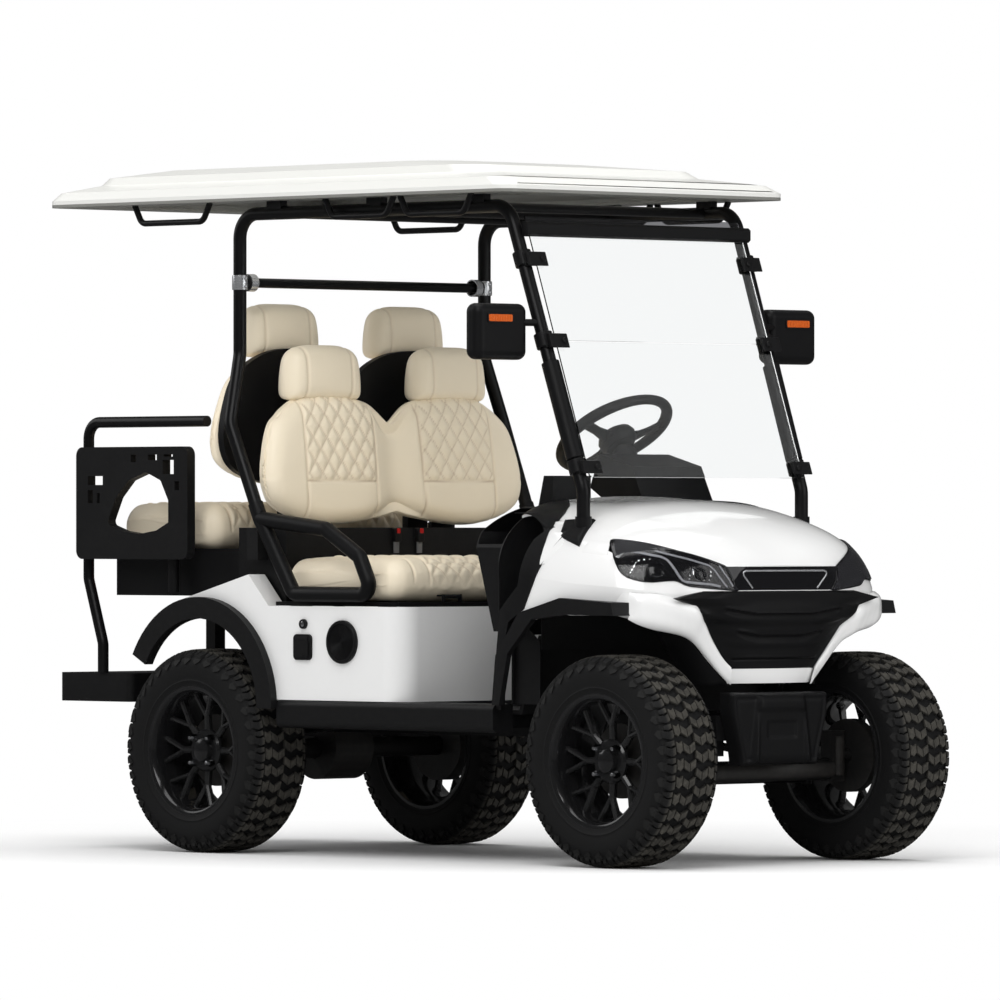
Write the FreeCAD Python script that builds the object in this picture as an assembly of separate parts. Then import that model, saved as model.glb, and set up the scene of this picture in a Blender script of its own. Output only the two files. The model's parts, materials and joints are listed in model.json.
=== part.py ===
# Four-seat golf cart with a rear-facing back seat, on raised off-road wheels.
# Frame: X forward, Y to the cart's left, Z up. The origin is on the floor, under the middle of the cart.
import FreeCAD, Part
import math
import os

V = FreeCAD.Vector

# Whole cart, in millimetres
wheelbase = 1674.0
front_axle_x = 1021.0
rear_axle_x = front_axle_x - wheelbase
track = 925.0
wheel_y = track / 2
body_half = 545.0
floor_z = 430.0

# Fits between pieces
seat_gap = 0.3
panel_gap = 3.0
overrun = 30.0

# Tyres
tyre_radius = 295.0
tyre_width = 210.0
tread_width = 172.0
lug_height = 11.0
bead_radius = 176.0
tyre_wall = 12.0
lugs_around = 18
lug_share = 0.56
lug_skew = 14.0
lug_centre_gap = 7.0
lug_end_share = 0.7

# Wheels
rim_width = 196.0
lip_radius = 188.0
rim_wall = 5.0
barrel_radius = 168.0
hub_radius = 64.0
hub_depth = 30.0
disc_out = 60.0
disc_thick = 14.0
spoke_dish = 14.0
spoke_count = 8
spoke_width = 13.0
spoke_fork = 112.0
stud_circle = 101.6
stud_radius = 10.0
stud_length = 15.0
stud_count = 4
cap_radius = 33.0
cap_height = 22.0

# Chassis
rail_y = 175.0
rail_width = 50.0
rail_height = 70.0
floor_thick = 12.0
rail_top = floor_z - floor_thick - seat_gap
rail_front_reach = 109.0
rail_rear_reach = 597.0
rail_front_x = front_axle_x + rail_front_reach
rail_rear_x = rear_axle_x - rail_rear_reach
cross_size = 40.0
cross_shares = [0.02, 0.14, 0.32, 0.5, 0.7, 0.98]
outrigger_shares = [0.46, 0.74]
jack_shares = [0.3, 0.73]
jack_pad = 60.0
jack_pad_thick = 8.0

# Axles, springs and steering gear
axle_tube = 30.0
housing_radius = 92.0
housing_width = 150.0
motor_radius = 84.0
motor_length = 250.0
drum_radius = 104.0
drum_width = 50.0
leaf_width = 46.0
leaf_thick = 8.0
leaf_count = 3
rear_leaf_drop = 46.0
front_leaf_drop = 26.0
shackle = 34.0
rear_leaf_y = 268.0
rear_leaf_length = 760.0
front_leaf_length = 600.0
front_leaf_nose = 90.0
kingpin_y = 395.0
kingpin_radius = 12.0
pin_clearance = 0.1
sleeve_radius = 21.0
yoke_height = 112.0
yoke_thick = 16.0
beam_drop = 38.0
steer_arm = 120.0
tie_rod_radius = 9.0
tie_rod_drop = 50.0
arm_thick = 14.0

# Front cowl
cowl_rear_x = 600.0
nose_x = 1200.0
cowl_length = nose_x - cowl_rear_x
cowl_base_z = 431.0
cowl_height = 599.0
cowl_wall = 5.0
# Each row is a place along the cowl, then half widths and heights from the middle of the hood to its side
cowl_shares = [
    (0.0, [(0, 1.0), (0.42, 0.985), (0.765, 0.925), (0.935, 0.81), (0.985, 0.615)]),
    (0.3, [(0, 0.985), (0.40, 0.967), (0.73, 0.913), (0.913, 0.79), (0.99, 0.615)]),
    (0.55, [(0, 0.95), (0.38, 0.93), (0.68, 0.87), (0.876, 0.765), (0.978, 0.59)]),
    (0.75, [(0, 0.885), (0.36, 0.865), (0.62, 0.82), (0.80, 0.73), (0.91, 0.574)]),
    (0.892, [(0, 0.80), (0.345, 0.79), (0.527, 0.75), (0.664, 0.665), (0.75, 0.55)]),
    (1.0, [(0, 0.678), (0.20, 0.675), (0.336, 0.65), (0.373, 0.60), (0.387, 0.53)]),
]
chin_back_reach = 19.0
chin_back_x = front_axle_x + chin_back_reach
chin_length = 184.0
chin_half = 512.0
chin_base_z = 507.0
chin_height = 253.0
# Each row is a height, then places forward and half widths from the back edge to the middle of the nose
chin_shares = [
    (0.0, [(0, 0.46), (0.15, 0.453), (0.35, 0.414), (0.50, 0.322), (0.60, 0.186), (0.64, 0)]),
    (0.63, [(0, 0.684), (0.22, 0.674), (0.48, 0.605), (0.68, 0.47), (0.80, 0.293), (0.85, 0)]),
    (0.765, [(0, 1.0), (0.25, 0.977), (0.55, 0.83), (0.76, 0.625), (0.89, 0.38), (0.93, 0)]),
    (1.0, [(0, 0.967), (0.24, 0.937), (0.48, 0.797), (0.67, 0.605), (0.79, 0.371), (0.82, 0)]),
]
arch_top_z = 698.0
arch_front_reach = 280.0
arch_front_x = front_axle_x + arch_front_reach
# The rear edge of the front arch, from the floor up, as shares of the arch's length and height
arch_rear_shares = [(0.0, 0.0), (0.02, 0.50), (0.06, 0.72), (0.15, 0.92), (0.25, 1.0)]
arch_rear_x = 632.0

# Grille, nose strip and headlights, in front view
grille_half = 395.0
grille_base_z = 548.0
grille_height = 217.0
grille_shares = [(-0.76, 1.0), (0.76, 1.0), (1.0, 0.87), (0.85, 0.77), (0.484, 0.0),
                 (-0.484, 0.0), (-0.85, 0.77), (-1.0, 0.87)]
grille_depth = 12.0
grille_slot_count = 5
grille_slot_share = 0.62
grille_slot_depth = 8.0
grille_slot_reach = 0.9
# The ends of each slot rise outwards over this length
grille_wing = 54.0
grille_slot_lift = 9.0
strip_half = 211.0
strip_base_z = 769.0
strip_height = 63.0
strip_foot_share = 0.86
lamp_inner_y = 196.0
lamp_width = 280.0
lamp_base_z = 766.0
lamp_height = 133.0
lamp_shares = [(0.0, 0.02), (0.05, 0.45), (0.36, 0.72), (0.95, 1.0), (1.0, 0.9), (0.92, 0.42),
               (0.78, 0.26), (0.42, 0.2)]
lamp_depth = 46.0

# Side trims, flares, sills and lower bumper
trim_foot_x = 577.0
trim_run = 258.0
trim_rise = 549.0
trim_shares = [(0.0, 0.0), (0.155, 0.51), (0.44, 0.632), (0.56, 0.87), (0.75, 0.97), (1.0, 0.965),
               (0.907, 0.883), (0.795, 0.757), (0.535, 0.515), (0.30, 0.45), (0.20, 0.28), (0.174, 0.0)]
trim_proud = 3.0
trim_inner_share = 0.86
trim_wall = 8.0
front_flare_rear_x = 606.0
front_flare_length = 484.0
front_flare_base_z = 445.0
front_flare_height = 301.0
front_flare_out = 560.0
front_flare_inner_share = 0.9
front_flare_shares = [(0.0, 0.0), (0.03, 0.46), (0.22, 0.86), (0.56, 1.0), (0.98, 0.96), (1.0, 0.84),
                      (0.60, 0.845), (0.33, 0.80), (0.13, 0.48), (0.06, 0.0)]
rear_arch_lead = 28.0
rear_arch_x = rear_axle_x + rear_arch_lead
rear_arch_z = 422.0
rear_arch_radius = 300.0
flare_outer = 318.0
flare_inner = 256.0
flare_wall = 5.0
flare_out = 565.0
liner_lap = 6.0
flare_rear_angle = 28.0
sill_rear_x = -300.0
sill_front_x = 597.0
sill_base_z = 367.0
sill_top_z = 447.0
sill_width = 78.0
sill_out = 550.0
sill_round = 18.0
bumper_back_x = rail_front_x + seat_gap
bumper_front_x = 1197.0
bumper_top_z = 482.0
bumper_base_z = 279.0
bumper_top_half = 195.0
bumper_base_half = 154.0
bumper_wall = 5.0
bumper_round = 22.0

# Rear body and seat frame
kick_x = 208.0
body_top_z = 716.0
body_base_z = sill_top_z + seat_gap
body_wall = 5.0
body_side = 540.0
corner_round = 70.0
quarter_rear_x = -760.0
quarter_peak_x = -430.0
quarter_peak_z = 806.0
quarter_foot_x = -345.0
quarter_rear_z = 722.0
liner_inner_y = 345.0
lip_width = 58.0
deck_thick = 12.0
deck_top_z = body_top_z + seat_gap + deck_thick
bulkhead_front_x = -345.0
bulkhead_rear_x = -548.0
bulkhead_top_z = 940.0
bulkhead_half = 470.0
rear_base_x = -1105.0
rear_base_half = 450.0
rear_base_bottom_z = 742.0
rear_base_top_z = 879.0
frame_wall = 5.0
speaker_x = -29.0
speaker_z = 615.0
speaker_radius = 62.0
lock_x = -192.0
lock_z = 665.0
lock_radius = 14.0
socket_x = -195.0
socket_z = 599.0
socket_size = 74.0
fitting_depth = 7.0

# Floor and dashboard
floor_rear_x = 190.0
toe_x = 622.0
toe_top_x = 700.0
toe_top_z = 640.0
dash_rear_x = 486.0
dash_lap = 4.0
dash_clearance = 0.9
dash_front_x = cowl_rear_x + dash_lap
firewall_base_z = 702.0
dash_base_z = 650.0
dash_top_z = 1000.0
dash_half = 520.0
pod_rear_x = 372.0
pod_front_x = 470.0
pod_y = 190.0
pod_half = 140.0
pod_base_z = 985.0
pod_top_z = 1150.0
holder_x = 640.0
holder_y = 225.0
holder_width = 150.0
holder_top_z = 1087.0
holder_thick = 60.0
holder_lip = 36.0

# Steering wheel
wheel_x = 300.0
wheel_centre_y = 215.0
wheel_z = 1212.0
wheel_tilt = 35.0
wheel_ring = 165.0
wheel_grip = 15.0
wheel_hub = 46.0
wheel_hub_depth = 26.0
wheel_spoke = 11.0
column_start = 60.0
column_length = 235.0
column_radius = 34.0
shaft_radius = 16.0

# Roof frame, windscreen and mirrors
tube = 19.0
pillar_foot_x = 841.0
pillar_foot_y = 434.0
pillar_foot_z = 930.0
pillar_bend_z = 1046.0
roof_rail_z = 1845.0
pillar_top_x = 555.0
pillar_top_y = 446.0
post_x = -524.0
post_y = 488.0
post_low_z = 1440.0
post_mid_x = -500.0
post_mid_y = 547.0
post_mid_z = 1240.0
post_foot_x = -400.0
post_foot_z = 1010.0
tube_bend = 70.0
boot_radius = 34.0
boot_height = 76.0
clamp_width = 46.0
clamp_length = 56.0
glass_thick = 5.0
glass_half = 424.0
glass_base_z = 1081.0
glass_split_z = 1464.0
glass_top_z = 1816.0
top_bar_base_z = 1757.0
top_bar_height = 42.0
top_bar_depth = 12.0
top_bar_half = 444.0
sleeve_low_z = 1106.0
sleeve_high_z = 1403.0
pillar_sleeve_radius = 25.0
clamp_low_z = 1072.0
clamp_mid_z = 1464.0
clamp_high_z = 1687.0
clip_inner_y = 350.0
mirror_x = 640.0
mirror_y = 578.0
mirror_z = 1488.0
mirror_width = 196.0
mirror_height = 157.0
mirror_depth = 62.0
mirror_round = 24.0
mirror_arm = 10.0
mirror_arm_rise = 26.0

# Roof
roof_front_x = 661.0
roof_rear_x = -1295.0
roof_half = 563.0
roof_base_z = 1880.0
roof_height = 108.0
roof_corner = 50.0
roof_corner_growth = 0.5
roof_front_slope = 2.4
roof_wall = 6.0
roof_flange = 130.0
# Insets from the roof's edge and heights, from the bottom up
roof_step_shares = [(0.0, 0.0), (0.0, 0.18), (0.03, 0.40), (0.16, 0.60), (0.185, 0.80), (0.38, 1.0)]
pad_shares = [0.06, 0.52, 0.985]
pad_length = 60.0
pad_width = 26.0
handle_y = 512.0
handle_z = 1827.0
handle_radius = 9.0
handle_rears = [-954.0, -135.0, 178.0]
handle_lengths = [327.0, 286.0, 292.0]
handle_slope = 30.0
cross_radius = 14.0
crossbar_z = 1648.0
crossbar_clamp = 22.0

# Seats
front_cushion_front_x = 160.0
front_cushion_rear_x = -330.0
front_cushion_half = 508.0
front_cushion_top_z = 858.0
cushion_round = 34.0
front_back_x = -365.0
back_thick = 92.0
front_back_half = 515.0
front_back_base_z = 946.0
front_back_height = 386.0
# Half of a two-lobed back in front view, from the top of its middle round to the bottom
back_shares = [(0.0, 0.785), (0.116, 0.905), (0.209, 0.956), (0.427, 1.0), (0.646, 0.979), (0.77, 0.918),
               (0.911, 0.769), (0.969, 0.59), (1.0, 0.395), (0.992, 0.262), (0.94, 0.141), (0.797, 0.051),
               (0.594, 0.0), (0.406, 0.0), (0.219, 0.031), (0.11, 0.051), (0.0, 0.085)]
headrest_half = 145.0
headrest_height = 145.0
headrest_depth = 96.0
front_headrest_z = 1398.0
headrest_y = 250.0
rear_headrest_z = 1520.0
headrest_stem = 7.0
stem_reach = 20.0
rear_cushion_front_x = -1110.0
rear_cushion_length = 430.0
rear_cushion_half = 448.0
rear_cushion_top_z = 1012.0
hinge_y = 300.0
hinge_half = 30.0
hinge_radius = 6.0
hinge_strap = 4.0
front_hinge_x = 167.0
front_hinge_z = 745.0
rear_hinge_x = -1120.0
rear_back_x = -665.0
rear_back_thick = 82.0
rear_back_half = 520.0
rear_back_base_z = 1064.0
rear_back_height = 396.0
shell_thick = 24.0
support_rise = 120.0

# Hip restraints, armrests, rails and footplate
hip_tube = 22.0
hip_y = 540.0
hip_rear_x = -236.0
hip_front_x = 96.0
hip_shoulder_x = 40.0
hip_shoulder_z = 858.0
hip_crest_x = -100.0
hip_crest_z = 936.0
hip_bend = 29.0
rest_rear_x = -1190.0
rest_front_x = -700.0
rest_base_z = 848.0
rest_top_z = 1176.0
rest_thick = 30.0
rest_round = 26.0
rest_hole_round = 14.0
rest_hole_shares = [(0.278, 0.314), (0.36, 0.55), (0.47, 0.70), (0.629, 0.774), (0.76, 0.70), (0.83, 0.52),
                    (0.851, 0.341), (0.72, 0.255), (0.576, 0.226), (0.42, 0.25)]
# Each row is a small window beside the arch, as shares of the panel's length and then of its height
rest_window_shares = [(0.106, 0.241, 0.662, 0.741), (0.106, 0.151, 0.50, 0.616), (0.188, 0.214, 0.50, 0.588),
                      (0.494, 0.539, 0.863, 0.93), (0.647, 0.727, 0.88, 0.93), (0.79, 0.869, 0.91, 0.93),
                      (0.78, 0.878, 0.756, 0.881), (0.885, 0.925, 0.613, 0.692)]
side_tube = 16.0
side_tube_y = 488.0
side_foot_x = -1122.0
side_knee_x = -1186.0
side_knee_z = 790.0
side_low_z = 600.0
side_top_z = 1249.0
side_front_x = rear_back_x - seat_gap
prop_x = -812.0
plate_rear_x = -1316.0
plate_front_x = -1000.0
plate_half = 490.0
plate_base_z = 430.0
plate_top_z = 514.0
plate_wall = 6.0
plate_round = 20.0
lamp_red_y = 392.0
lamp_red_width = 84.0
lamp_red_height = 46.0
lamp_red_depth = 12.0
lamp_red_z = 812.0

# Batteries and belts
battery_rear_x = -270.0
battery_front_x = 150.0
battery_half = 320.0
battery_height = 240.0
retractor_width = 40.0
retractor_depth = 46.0
retractor_height = 92.0
buckle_y = 46.0
buckle_width = 24.0
buckle_depth = 22.0
buckle_height = 74.0


def box(x0, x1, y0, y1, z0, z1):
    """A box between two corners."""
    return Part.makeBox(x1 - x0, y1 - y0, z1 - z0, V(x0, y0, z0))


def rod(radius, start, end):
    """A round bar between two points."""
    a, b = V(*start), V(*end)
    return Part.makeCylinder(radius, (b - a).Length, a, b - a)


def other_side(shape):
    """The same piece on the cart's other side."""
    return shape.mirror(V(0, 0, 0), V(0, 1, 0))


def both_sides(*shapes):
    """Pieces and their mirror images."""
    return [*shapes, *[other_side(s) for s in shapes]]


def joined(shapes):
    """One solid from pieces that meet."""
    return shapes[0].multiFuse(list(shapes[1:])).removeSplitter()


def placed(shares, start, size):
    """Points from shares of a size along two directions."""
    return [(start[0] + a * size[0], start[1] + b * size[1]) for a, b in shares]


def corner(before, at, after, radius):
    """The points where a rounded corner starts, passes its middle and ends."""
    a, b = (before - at).normalize(), (after - at).normalize()
    half = math.acos(max(-1.0, min(1.0, a.dot(b)))) / 2
    reach = radius / math.tan(half)
    middle = (a + b).normalize() * (radius / math.sin(half) - radius)
    return at + a * reach, at + middle, at + b * reach


def rounded_path(points, radius, closed=False):
    """A wire of straight runs with a tangent arc at each corner between them."""
    points = [V(*p) for p in points]
    count = len(points)
    edges = []
    first = last = None
    for i, at in enumerate(points):
        if radius > 0 and (closed or 0 < i < count - 1):
            start, middle, end = corner(points[i - 1], at, points[(i + 1) % count], radius)
        else:
            start = middle = end = at
        if last is not None:
            edges.append(Part.LineSegment(last, start).toShape())
        if (start - end).Length > 0:
            edges.append(Part.Arc(start, middle, end).toShape())
        first = first or start
        last = end
    if closed:
        edges.append(Part.LineSegment(last, first).toShape())
    return Part.Wire(edges)


def bent_tube(points, radius, bend):
    """A round bar along straight runs and tangent bends."""
    path = rounded_path(points, bend)
    start = V(*points[0])
    ring = Part.Wire(Part.makeCircle(radius, start, V(*points[1]) - start))
    return path.makePipeShell([ring], True, True)


def side_plate(points, radius, y0, y1):
    """A shape drawn in side view, as X and Z, that reaches from y0 to y1."""
    wire = rounded_path([(x, y0, z) for x, z in points], radius, True)
    return Part.Face(wire).extrude(V(0, y1 - y0, 0))


def front_plate(points, radius, x0, x1):
    """A shape drawn in front view, as Y and Z, that reaches from x0 to x1."""
    wire = rounded_path([(x0, y, z) for y, z in points], radius, True)
    return Part.Face(wire).extrude(V(x1 - x0, 0, 0))


def smooth_plate(points, x0, x1):
    """A shape with a smooth closed outline in front view, as Y and Z, that reaches from x0 to x1."""
    curve = Part.BSplineCurve()
    curve.interpolate(Points=[V(x0, y, z) for y, z in points], PeriodicFlag=True)
    return Part.Face(Part.Wire(curve.toShape())).extrude(V(x1 - x0, 0, 0))


def top_plate(points, radius, z0, z1):
    """A shape drawn from above, as X and Y, that reaches from z0 to z1."""
    wire = rounded_path([(x, y, z0) for x, y in points], radius, True)
    return Part.Face(wire).extrude(V(0, 0, z1 - z0))


def soft_block(x0, x1, y0, y1, z0, z1, radius):
    """A block with all its edges rounded."""
    block = box(x0, x1, y0, y1, z0, z1)
    return block.makeFillet(radius, block.Edges)


def spun(points, x, z, y=0):
    """A ring turned about a line along Y through x and z. Points are radius and distance along Y."""
    ring = [V(x, y + b, z + r) for r, b in points]
    face = Part.Face(Part.makePolygon(ring + ring[:1]))
    return face.revolve(V(x, 0, z), V(0, 1, 0), 360)


def faceted(points, sides):
    """A ring of flat sides about the line through the origin along Y, its flats at each point's radius."""
    reach = 1 / math.cos(math.pi / sides)
    rings = [[V(r * reach * math.sin(turn), y, r * reach * math.cos(turn)) for r, y in points]
             for turn in (2 * math.pi * (i + 0.5) / sides for i in range(sides))]
    faces = []
    for i, ring in enumerate(rings):
        before = rings[i - 1]
        for j, at in enumerate(ring):
            faces.append(Part.Face(Part.makePolygon([at, ring[j - 1], before[j - 1], before[j], at])))
    return Part.Solid(Part.makeShell(faces))


def save(name, *shapes):
    """Writes one sub-part and says what is in it."""
    solids = [s for shape in shapes for s in shape.Solids]
    body = solids[0] if len(solids) == 1 else Part.makeCompound(solids)
    body.exportStep(f"parts/{name}.step")
    bad = [i for i, s in enumerate(solids) if not s.isValid() or s.Volume <= 0]
    print(name, len(solids), "INVALID" if bad else "ok")


def tyre():
    """A tyre with two staggered rows of skewed lugs, about the line through the origin along Y."""
    half, tread = tyre_width / 2, tread_width / 2
    base = tyre_radius - lug_height
    shoulder = base - lug_height
    bead = rim_width / 2 - rim_wall - seat_gap
    bead_top = lip_radius + seat_gap
    side = (shoulder + bead_radius) / 2
    carcass = faceted([(bead_radius, -bead), (bead_top, -bead), (side, -half),
                    (shoulder, -tread - lug_height), (base, -tread), (base, tread),
                    (shoulder, tread + lug_height), (side, half), (bead_top, bead), (bead_radius, bead),
                    (bead_radius, bead - tyre_wall), (base - tyre_wall, tread - tyre_wall),
                    (base - tyre_wall, tyre_wall - tread), (bead_radius, tyre_wall - bead)], lugs_around)
    pitch = 2 * math.pi * base / lugs_around
    width = pitch * lug_share
    start = lug_centre_gap / 2
    end = tread + lug_height * lug_end_share
    reach = width / 2 + lug_skew
    top = math.sqrt(tyre_radius ** 2 - reach ** 2)
    lugs = []
    for side_sign in (1, -1):
        flat = [(-width / 2, side_sign * start), (width / 2, side_sign * start),
                (width / 2 - lug_skew, side_sign * end), (-width / 2 - lug_skew, side_sign * end)]
        lug = top_plate(flat, 0, base - lug_height / 2, top)
        for i in range(lugs_around):
            turn = 360 / lugs_around * (i + (0.5 if side_sign > 0 else 0))
            one = lug.copy()
            one.rotate(V(0, 0, 0), V(0, 1, 0), turn)
            lugs.append(one)
    whole = carcass.multiFuse(lugs)
    whole.rotate(V(0, 0, 0), V(0, 1, 0), math.degrees(math.atan2(reach, top)) + 180)
    return whole


def rim(out):
    """A wheel with its dished face towards out, which is 1 or -1 along Y."""
    half = rim_width / 2
    neck = barrel_radius - rim_wall
    lip = spun([(lip_radius, half), (lip_radius, half - rim_wall), (barrel_radius + rim_wall, half - rim_wall),
                (barrel_radius + rim_wall, half - 4 * rim_wall), (barrel_radius, half - 5 * rim_wall),
                (barrel_radius, -half + 4 * rim_wall), (barrel_radius + rim_wall, -half + 3 * rim_wall),
                (barrel_radius + rim_wall, -half + rim_wall), (lip_radius, -half + rim_wall), (lip_radius, -half),
                (barrel_radius, -half),
                (neck, -half + 4 * rim_wall), (neck, half - 5 * rim_wall), (barrel_radius, half - 3 * rim_wall),
                (barrel_radius, half)], 0, 0)
    face = disc_out
    disc = spun([(0, face - spoke_dish), (hub_radius, face - spoke_dish), (neck + rim_wall / 2, face),
                 (neck + rim_wall / 2, face - disc_thick), (hub_radius, face - spoke_dish - disc_thick),
                 (0, face - spoke_dish - disc_thick)], 0, 0)
    inner, outer = hub_radius + spoke_width / 2, neck - spoke_width / 2
    wedge = math.pi / spoke_count
    fork = [(spoke_fork, 0), (outer, wedge / 2 - spoke_width / 2 / outer)]
    between = [(inner, wedge - spoke_width / 2 / inner), (spoke_fork, wedge - spoke_width / 2 / spoke_fork),
               (outer, wedge / 2 - spoke_width / 2 / outer)]
    windows = []
    for i in range(spoke_count):
        for half_window, turn in ((fork, 0), (between, wedge)):
            points = [(r * math.sin(a), r * math.cos(a)) for r, a in half_window]
            points += [(0, outer)] + [(-x, z) for x, z in reversed(points) if x > 0]
            window = side_plate(points, 0, face - 3 * disc_thick, face + disc_thick)
            window.rotate(V(0, 0, 0), V(0, 1, 0), math.degrees(turn + 2 * wedge * i))
            windows.append(window)
    disc = disc.cut(Part.makeCompound(windows))
    hub_face = face - spoke_dish - disc_thick
    hub = rod(hub_radius, (0, hub_face - hub_depth, 0), (0, hub_face + disc_thick, 0))
    cap = rod(cap_radius, (0, hub_face, 0), (0, hub_face + disc_thick + cap_height, 0))
    studs = []
    for i in range(stud_count):
        turn = 2 * math.pi * (i + 0.5) / stud_count
        x, z = stud_circle / 2 * math.sin(turn), stud_circle / 2 * math.cos(turn)
        studs.append(rod(stud_radius, (x, hub_face, z), (x, hub_face + disc_thick + stud_length, z)))
    wheel = joined([lip, disc, hub, cap, *studs])
    return wheel if out > 0 else other_side(wheel)


def wheels():
    """Four tyres and four wheels, at the ends of the two axles."""
    ring = tyre()
    for end, x in (("front", front_axle_x), ("rear", rear_axle_x)):
        for side, sign in (("left", 1), ("right", -1)):
            place = V(x, sign * wheel_y, tyre_radius)
            tread = ring.copy() if sign > 0 else other_side(ring)
            tread.translate(place)
            save(f"tyre_{end}_{side}", tread)
            metal = rim(sign)
            metal.translate(place)
            save(f"rim_{end}_{side}", metal)


def chassis():
    """Two box rails, the cross members between them and a jacking pad near each wheel."""
    base = rail_top - rail_height
    pieces = []
    for sign in (-1, 1):
        inner = sign * rail_y - rail_width / 2
        pieces.append(box(rail_rear_x, rail_front_x, inner, inner + rail_width, base, rail_top))
    length = rail_front_x - rail_rear_x - cross_size
    for share in cross_shares:
        x = rail_rear_x + share * length
        pieces.append(box(x, x + cross_size, -rail_y, rail_y, base, base + cross_size))
    sill_face = sill_out - sill_width - seat_gap
    for share in outrigger_shares:
        x = rail_rear_x + share * length
        pieces.append(box(x, x + cross_size, -sill_face, sill_face, rail_top - cross_size, rail_top))
    for share in jack_shares:
        x = rear_axle_x + wheelbase * share
        for sign in (-1, 1):
            y = sign * rail_y
            pieces.append(box(x, x + jack_pad, y - jack_pad / 2, y + jack_pad / 2,
                              base - jack_pad_thick, base))
    return joined(pieces)


def leaves(middle_x, y, rear_reach, front_reach, seat_z, drop, hanger):
    """A pack of curved leaves on the axle at seat_z, each shorter than the one above, with its two hangers."""
    radius = (rear_reach ** 2 + drop ** 2) / (2 * drop)
    pack = []
    top = seat_z + leaf_thick * leaf_count
    for i in range(leaf_count):
        share = 1 - i / (leaf_count + 1)
        low = top - leaf_thick * (i + 1)
        ring = [Part.makeCylinder(radius - a, leaf_width, V(middle_x, y - leaf_width / 2, low + radius), V(0, 1, 0))
                for a in (0, leaf_thick)]
        window = box(middle_x - rear_reach * share, middle_x + front_reach * share, y - leaf_width, y + leaf_width,
                     low, low + radius / 2)
        pack.append(ring[0].cut(ring[1]).common(window))
    y0, y1, top_z = hanger
    for end in (-rear_reach, front_reach - shackle):
        low = top - leaf_thick + radius - math.sqrt(radius ** 2 - end ** 2)
        pack.append(box(middle_x + end, middle_x + end + shackle, y0, y1, low, top_z))
    return joined(pack)


def rear_axle():
    """A live axle with its housing, brake drums and the drive motor as one block."""
    x, z = rear_axle_x, tyre_radius
    hub_face = wheel_y + disc_out - spoke_dish - disc_thick - hub_depth - seat_gap
    pieces = [rod(axle_tube, (x, -hub_face, z), (x, hub_face, z)),
              rod(housing_radius, (x, -housing_width / 2, z), (x, housing_width / 2, z)),
              rod(motor_radius, (x - housing_radius - motor_length / 2, 0, z), (x, 0, z))]
    for sign in (-1, 1):
        pieces.append(rod(drum_radius, (x, sign * (hub_face - drum_width), z), (x, sign * hub_face, z)))
    return joined(pieces)


def springs():
    """Leaf springs between the two axles and the rails."""
    rear_seat = tyre_radius + axle_tube + seat_gap
    outer_face = rail_y + rail_width / 2 + seat_gap
    rear_top = rear_seat + leaf_thick * leaf_count + rear_leaf_drop
    rear = leaves(rear_axle_x, rear_leaf_y, rear_leaf_length / 2, rear_leaf_length / 2, rear_seat, rear_leaf_drop,
                  (outer_face, rear_leaf_y + leaf_width / 2, rear_top + leaf_thick))
    front_seat = tyre_radius - beam_drop + axle_tube + seat_gap
    front = leaves(front_axle_x, rail_y, front_leaf_length / 2, front_leaf_nose, front_seat, front_leaf_drop,
                   (rail_y - leaf_width / 2, rail_y + leaf_width / 2, rail_top - rail_height - seat_gap))
    return both_sides(rear, front)


def front_axle():
    """A beam with a forked end and a kingpin at each side."""
    z = tyre_radius
    low, high = z - yoke_height / 2, z + yoke_height / 2
    ends = kingpin_y - sleeve_radius - yoke_thick
    pieces = [rod(axle_tube, (front_axle_x, -ends, z - beam_drop), (front_axle_x, ends, z - beam_drop))]
    for sign in (-1, 1):
        y = sign * kingpin_y
        back = sign * (ends - yoke_thick / 2)
        face = sign * (ends + yoke_thick / 2)
        pieces.append(box(front_axle_x - sleeve_radius, front_axle_x + sleeve_radius,
                          min(back, face), max(back, face), low - yoke_thick, high + yoke_thick))
        for base in (low - yoke_thick, high):
            ear = box(front_axle_x - sleeve_radius, front_axle_x + sleeve_radius, min(back, y), max(back, y),
                      base, base + yoke_thick)
            pieces += [ear, rod(sleeve_radius, (front_axle_x, y, base), (front_axle_x, y, base + yoke_thick))]
        pieces.append(rod(kingpin_radius, (front_axle_x, y, low), (front_axle_x, y, high)))
    return joined(pieces)


def knuckle():
    """The left knuckle: a sleeve on the kingpin, a stub axle with its brake drum, and the steering arm."""
    z = tyre_radius
    low, high = z - yoke_height / 2 + seat_gap, z + yoke_height / 2 - seat_gap
    hub_face = wheel_y + disc_out - spoke_dish - disc_thick - hub_depth - seat_gap
    x, y = front_axle_x, kingpin_y
    arm_z = z - tie_rod_drop
    drum_back = hub_face - drum_width
    body = joined([rod(sleeve_radius, (x, y, low), (x, y, high)),
                   rod(axle_tube - kingpin_radius, (x, y, z), (x, hub_face, z)),
                   rod(drum_radius, (x, drum_back + sleeve_radius, z), (x, hub_face, z)),
                   box(x - steer_arm, x, y - arm_thick / 2, y + arm_thick / 2, arm_z, arm_z + arm_thick),
                   rod(arm_thick, (x - steer_arm, y, arm_z), (x - steer_arm, y, arm_z + arm_thick))])
    bore = rod(kingpin_radius + pin_clearance, (x, y, low - overrun), (x, y, high + overrun))
    return body.cut(bore)


def tie_rod():
    """The rod under the two steering arms, with a ball stud up to each."""
    x = front_axle_x - steer_arm
    arm_z = tyre_radius - tie_rod_drop
    low = arm_z - seat_gap - 2 * tie_rod_radius
    y = kingpin_y
    pieces = [rod(tie_rod_radius, (x, -y, low), (x, y, low))]
    for sign in (-1, 1):
        pieces.append(rod(arm_thick, (x, sign * y, low - arm_thick), (x, sign * y, arm_z - seat_gap)))
    return joined(pieces)


def mirrored(points):
    """Half widths and heights from the middle outwards, repeated on the other side."""
    return [(-a, b) for a, b in reversed(points[1:])] + points


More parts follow.
